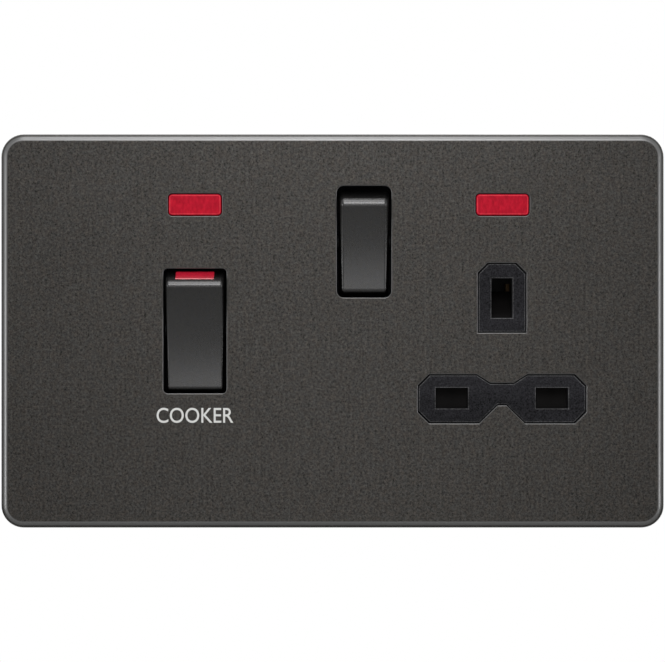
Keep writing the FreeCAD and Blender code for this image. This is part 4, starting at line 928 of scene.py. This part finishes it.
@dataclass
class Neons:
    """The two red lenses with their lamps, holders and resistors."""

    # Tilts from the front of the bevel faces on which a highlight is painted.
    highlight_slopes: Span = (math.radians(10), math.radians(32))
    # The lens's lighter middle is a painted glow, standing for the lamp's chamber behind it.
    lens_deep: Colour = (0.35, 0.008, 0.021)
    lens_lit: Colour = (0.7, 0.015, 0.033)
    highlight_deep: Colour = (0.5, 0.03, 0.045)
    highlight_lit: Colour = (0.6, 0.045, 0.06)
    glass: LampGlass = LampGlass("lamp_glass", (0.95, 0.86, 0.8))
    holder: Moulded = Moulded("natural_holder", (0.72, 0.7, 0.64), roughness=0.45, gloss=0.35)
    body_colour: Colour = (0.5, 0.36, 0.2)
    bands: tuple[Colour, ...] = (
        (0.4, 0.03, 0.02),
        (0.3, 0.08, 0.4),
        (0.6, 0.5, 0.04),
        (0.5, 0.3, 0.06),
    )
    band_start: float = 0.2
    band_pitch: float = 0.19
    band_width: float = 0.09

    def lens(self, side: str) -> None:
        """Makes one lens, with a highlight painted on its bevelled edge.

        Args:
            side: The side it is on, left or right.
        """
        node = f"neon_lens_{side}"
        low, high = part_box(node)
        centre = tuple((low + high) / 2)
        reach = (high - low) / 2
        body = ClearRed(f"red_lens_{side}", self.lens_deep, self.lens_lit, centre, tuple(reach))
        # The rim finish paints a highlight on the bevel faces.
        rim = ClearRed(f"red_rim_highlight_{side}", self.highlight_deep, self.highlight_lit, centre, tuple(reach * 2))
        mesh = mesh_of(node)
        front = Vector((0.0, -1.0, 0.0))
        for face in mesh.faces:
            bevelled = self.highlight_slopes[0] < face.normal.angle(front) < self.highlight_slopes[1]
            face.material_index = SECOND_FINISH if bevelled else 0
            face.smooth = False
        piece = new_piece(f"{side}_lens", mesh, [body.build(), rim.build()], "housing")
        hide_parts(node)

    def resistor(self, side: str) -> None:
        """Gives one resistor its colour bands.

        Args:
            side: The side it is on, left or right.
        """
        low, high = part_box(f"neon_resistor_{side}")
        length = (high - low).x
        finish = Banded(
            f"banded_resistor_{side}",
            self.body_colour,
            self.bands,
            start=low.x + length * self.band_start,
            pitch=length * self.band_pitch,
            width=length * self.band_width,
        )
        dress(finish.build(), [f"neon_resistor_{side}"])

    def build(self) -> None:
        """Dresses the sub-assembly."""
        for side in ("left", "right"):
            self.lens(side)
            self.resistor(side)
        dress(self.glass.build(), ["neon_lamp_left", "neon_lamp_right"])
        dress(self.holder.build(), ["neon_holder_left", "neon_holder_right"])


@dataclass
class Conductors:
    """Brass strips, contacts and terminals, the springs and the shutter."""

    brass: Stock = Stock("brass", (0.72, 0.52, 0.22), (0.38, 0.24, 0.1), Lay.UPRIGHT)
    # Brass darkened to paint the shade inside the socket slots, on the contacts seen through them.
    shade_darkened_brass: Stock = Stock(
        "shade_darkened_brass", (0.16, 0.11, 0.06), (0.09, 0.06, 0.04), Lay.UPRIGHT, roughness=0.55
    )
    spring_steel: Stock = Stock(
        "spring_steel", (0.55, 0.55, 0.54), (0.32, 0.3, 0.27), Lay.CAST, roughness=0.25
    )
    shutter_finish: Moulded = Moulded(
        "black_shutter", (0.005, 0.0046, 0.0045), roughness=0.6, gloss=0.05
    )

    def shutter_coil(self, steel: bpy.types.Material) -> None:
        """Makes the spring below the shutter, from a smooth copy of its CAD node.

        Args:
            steel: The springs' finish.
        """
        low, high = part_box("shutter_spring")
        joints = {joint["name"]: joint for joint in frame["record"]["behaviour"]["joints"]}
        travel = joints["shutter_slide"]["range_m"][1]
        mesh = mesh_of("shutter_spring")
        for face in mesh.faces:
            face.smooth = True
        piece = new_piece("shutter_coil", mesh, [steel], "housing")
        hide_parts("shutter_spring")
        keep = 1.0 - travel / (high - low).z
        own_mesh(piece)

    def build(self) -> None:
        """Dresses the sub-assembly."""
        slots = {item["node"]: item["material_slot"] for item in frame["record"]["subparts"]}
        grips = [name for name in slots if name.endswith("socket_contact")]
        strips = [name for name in slots if slots[name] == "brass" and name not in grips]
        dress(self.brass.build(), strips)
        # The contacts behind the slots get the darkened brass, which paints their shade.
        dress(self.shade_darkened_brass.build(), grips)
        steel = self.spring_steel.build()
        dress(steel, [name for name in slots if "spring" in name and slots[name] == "steel"])
        self.shutter_coil(steel)
        dress(self.shutter_finish.build(), ["shutter"])


@dataclass(frozen=True)
class ScrewSize:
    """The radii of a screw's thread and head, its head's height, and the recess in it."""

    shank: float
    head: float
    thick: float
    drive: Drive


@dataclass
class ScrewKit:
    """Screws with cut threads and driven recesses, turned in from the rear."""

    zinc: Stock = Stock("zinc", (0.6, 0.61, 0.6), (0.42, 0.42, 0.38), Lay.CAST, roughness=0.3)
    # Darker zinc that paints the shade inside the screws' recesses.
    recess_shaded_zinc: Stock = Stock(
        "recess_shaded_zinc", (0.13, 0.13, 0.13), (0.07, 0.07, 0.06), Lay.CAST, roughness=0.55
    )
    clamping: ScrewSize = ScrewSize(
        2.5 * MILLIMETRE, 3.6 * MILLIMETRE, 2.2 * MILLIMETRE, Drive.SLOT
    )
    joining: ScrewSize = ScrewSize(
        1.5 * MILLIMETRE, 2.7 * MILLIMETRE, 1.8 * MILLIMETRE, Drive.CROSS
    )
    sides: int = 28
    pitch: float = 0.8 * MILLIMETRE
    crest: float = 0.45
    root: float = 0.95
    thread_depth: float = 0.22 * MILLIMETRE
    rim_share: float = 0.25
    rim_round: Span = (0.3, 0.35)
    recess_width: float = 0.8 * MILLIMETRE
    recess_depth: float = 0.9 * MILLIMETRE
    cross_share: float = 0.75

    def profile(self, tip: float, end: float, size: ScrewSize) -> list[tuple[float, float]]:
        """Draws a screw's half section.

        Args:
            tip: Depth of its point.
            end: Depth of the head's outer face.
            size: The screw's sizes.

        Returns:
            Pairs of depth and radius, from the tip to the head's face.
        """
        neck = end - size.thick
        shank, head = size.shank, size.head
        points = [(tip, shank - 2 * self.thread_depth)]
        for turn in range(int((neck - tip) / self.pitch)):
            start = tip + turn * self.pitch
            points.append((start + self.crest * self.pitch, shank))
            points.append((start + self.root * self.pitch, shank - self.thread_depth))
        rim = self.rim_share * (end - neck)
        back, fall = self.rim_round
        points += [(neck, shank - self.thread_depth), (neck, head - rim / 2)]
        points += [(neck + rim / 2, head), (end - rim, head)]
        points += [(end - back * rim, head - fall * rim), (end, head - rim)]
        return points

    def press_recess(
        self, single: bmesh.types.BMesh, end: float, reach: float, drive: Drive
    ) -> None:
        """Presses the recess into a screw's head, and gives it the darker finish that paints its
        shade.

        Args:
            single: The screw's mesh, with its axis on Y.
            end: Depth of the head's outer face.
            reach: Radius of that face.
            drive: The recess's kind.
        """
        half = self.recess_width / 2
        arm = reach if drive is Drive.SLOT else reach * self.cross_share
        turned = [Vector((math.cos(turn), 0.0, math.sin(turn))) for turn in drive.value]
        arms = [(across, Vector((-across.z, 0.0, across.x))) for across in turned]
        for across, along in arms:
            for normal, distance in ((across, half), (across, -half), (along, arm), (along, -arm)):
                bmesh.ops.bisect_plane(
                    single,
                    geom=single.verts[:] + single.edges[:] + single.faces[:],
                    plane_co=normal * distance,
                    plane_no=normal,
                )
        sunk = []
        for face in single.faces:
            middle = face.calc_center_median()
            outer = abs(middle.y - end) < MERGE_DISTANCE
            if outer and any(
                abs(middle.dot(across)) < half and abs(middle.dot(along)) < arm
                for across, along in arms
            ):
                # The recess gets the second finish, which paints its shade.
                face.material_index = SECOND_FINISH
                sunk.append(face)
        pressed = bmesh.ops.extrude_face_region(single, geom=sunk)
        moved = [item for item in pressed["geom"] if isinstance(item, bmesh.types.BMVert)]
        bmesh.ops.translate(single, verts=moved, vec=(0.0, -self.recess_depth, 0.0))
        bmesh.ops.delete(single, geom=sunk, context="FACES")

    def screw(
        self,
        mesh: bmesh.types.BMesh,
        axis: tuple[float, float],
        points: list[tuple[float, float]],
        drive: Drive,
    ) -> None:
        """Adds one screw to a mesh.

        Args:
            mesh: The mesh that takes it.
            axis: The x and z of its axis.
            points: Its half section.
            drive: The recess in its head.
        """
        single = bmesh.new()
        end, reach = points[-1]
        outline = [(points[0][0], 0.0), *points, (end, 0.0)]
        chain = [single.verts.new((radius, depth, 0.0)) for depth, radius in outline]
        edges = [single.edges.new(pair) for pair in zip(chain, chain[1:])]
        bmesh.ops.spin(
            single,
            geom=chain + edges,
            axis=(0.0, 1.0, 0.0),
            cent=(0.0, 0.0, 0.0),
            angle=math.tau,
            steps=self.sides,
            use_merge=True,
        )
        bmesh.ops.remove_doubles(single, verts=single.verts, dist=MERGE_DISTANCE)
        self.press_recess(single, end, reach, drive)
        bmesh.ops.translate(single, verts=single.verts, vec=(axis[0], 0.0, axis[1]))
        data = bpy.data.meshes.new("screw")
        single.to_mesh(data)
        single.free()
        mesh.from_mesh(data)
        bpy.data.meshes.remove(data)

    def group(self, node: str, axes: Iterable[tuple[float, float]], size: ScrewSize) -> None:
        """Makes the screws that stand for one CAD group.

        Args:
            node: The group's node.
            axes: The x and z of each screw's axis.
            size: The screws' sizes.
        """
        low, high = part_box(node)
        points = self.profile(low.y, high.y, size)
        mesh = bmesh.new()
        for axis in axes:
            self.screw(mesh, axis, points, size.drive)
        finishes = [self.zinc.build(), self.recess_shaded_zinc.build()]
        piece = new_piece(f"{node}_cut", mesh, finishes, "housing")
        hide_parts(node)

    def build(self) -> None:
        """Makes both groups of screws."""
        clamps = "terminal_screws"
        blocks = sorted(name for name in frame["nodes"] if "_terminal" in name and name != clamps)
        middles = [sum(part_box(name), Vector()) / 2 for name in blocks]
        self.group(clamps, [(middle.x, middle.z) for middle in middles], self.clamping)
        low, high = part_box("assembly_screws")
        head = self.joining.head
        sideways, upright = (low.x + head, high.x - head), (low.z + head, high.z - head)
        self.group("assembly_screws", [(x, z) for x in sideways for z in upright], self.joining)


@dataclass
class Housing:
    """The rear moulding."""

    finish: Moulded = Moulded(
        "black_base", (0.022, 0.022, 0.023), roughness=0.5, grain_cell=0.0005, gloss=0.3
    )

    def build(self) -> None:
        """Dresses the moulding."""
        dress(self.finish.build(), ["base_moulding"])


@dataclass(frozen=True)
class Lamp:
    """One soft lamp: its place, its width and height, all in metres, and its watts."""

    name: str
    spot: Spot
    size: Span
    power: float


@dataclass
class Studio:
    """Floor, lamps, surrounding light and camera.

    The lens and its sensor are in millimetres, and the rest is in metres. A pixel is what one
    pixel of the photograph covers on the plate.
    """

    lens_length: float = 135.0
    sensor: float = 36.0
    sight: float = 20.0
    pixel: float = 0.2217 * MILLIMETRE
    floor_finish: PaleFloor = PaleFloor("pale_floor", (0.56, 0.56, 0.55))
    floor_cells: int = 8
    floor_drop: float = 0.2
    floor_reach: float = 2.1
    floor_forward: float = 0.9
    surround: float = 0.12
    lamps: tuple[Lamp, ...] = (
        Lamp("front", (0.0, -0.95, -0.06), (0.35, 0.32), 0.57),
        Lamp("high", (0.0, -1.0, 0.5), (0.36, 0.56), 5.9),
        Lamp("top", (-0.05, -0.55, 0.95), (0.4, 0.6), 4.0),
        Lamp("over", (0.0, 0.2, 1.1), (0.5, 0.5), 3.4),
        Lamp("left", (-0.85, -0.75, -0.06), (0.32, 0.34), 2.8),
        Lamp("right", (0.85, -0.75, -0.07), (0.32, 0.34), 2.2),
        Lamp("rear", (0.35, 1.0, 0.4), (0.6, 0.6), 2.7),
    )

    def floor(self, low: Vector) -> None:
        """Lays the floor below the object.

        Args:
            low: The object's lowest corner.
        """
        spot = (0.0, -self.floor_forward, low.z - self.floor_drop)
        cells = self.floor_cells
        mesh = bmesh.new()
        bmesh.ops.create_grid(mesh, x_segments=cells, y_segments=cells, size=self.floor_reach)
        bmesh.ops.translate(mesh, verts=mesh.verts, vec=spot)
        data = bpy.data.meshes.new("floor")
        mesh.to_mesh(data)
        mesh.free()
        data.materials.append(self.floor_finish.build())
        ground = bpy.data.objects.new("floor", data)
        link(ground)
        ground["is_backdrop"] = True

    def hang_lamps(self, middle: Vector) -> None:
        """Hangs the lamps.

        Args:
            middle: The point that they face.
        """
        for lamp in self.lamps:
            data = bpy.data.lights.new(lamp.name, "AREA")
            data.shape = "ELLIPSE"
            data.size, data.size_y = lamp.size
            data.energy = lamp.power
            hung = bpy.data.objects.new(lamp.name, data)
            hung.location = lamp.spot
            aim = (middle - Vector(lamp.spot)).to_track_quat("-Z", "Y")
            hung.rotation_euler = aim.to_euler()
            link(hung)

    def surround_light(self) -> None:
        """Sets a dim even light all round, which is white to the camera and in reflections."""
        world = bpy.data.worlds.new("surround")
        bpy.context.scene.world = world
        world.use_nodes = True
        shader = Shader(world.node_tree)
        strength = self.surround + (1.0 - self.surround) * shader.background_rays()
        sockets = {"Color": (1.0, 1.0, 1.0, 1.0), "Strength": strength}
        light = shader.node("ShaderNodeBackground", None, sockets)
        shader.node("ShaderNodeOutputWorld", None, {"Surface": Value(shader, light.outputs[0])})

    def camera(self) -> None:
        """Sets the camera square on, as far off as the photograph's frame asks."""
        data = bpy.data.cameras.new("camera")
        data.lens = self.lens_length
        data.sensor_width = self.sensor
        data.clip_end = self.sight
        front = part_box("front_plate")[0].y
        distance = self.pixel * PHOTO_SIZE[0] * self.lens_length / self.sensor
        camera = bpy.data.objects.new("camera", data)
        camera.location = (0.0, front - distance, 0.0)
        camera.rotation_euler = (math.pi / 2, 0.0, 0.0)
        link(camera)
        bpy.context.scene.camera = camera

    def build(self, box: tuple[Vector, Vector]) -> None:
        """Sets up the studio round the object.

        Args:
            box: The object's lowest and highest corners.
        """
        self.floor(box[0])
        self.hang_lamps((box[0] + box[1]) / 2)
        self.surround_light()
        self.camera()
        bpy.context.scene.view_settings.view_transform = "Standard"


def main() -> None:
    """Dresses the unit and sets the studio round it."""
    logging.basicConfig(level=logging.INFO, format="%(message)s")
    cad_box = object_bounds()
    for part in (FacePlate(), Rockers(), Neons(), Conductors(), ScrewKit(), Housing()):
        part.build()
        logger.info("%s done", type(part).__name__)
    Studio().build(tuple(Vector(corner) for corner in cad_box))


if __name__ == "__main__":
    main()
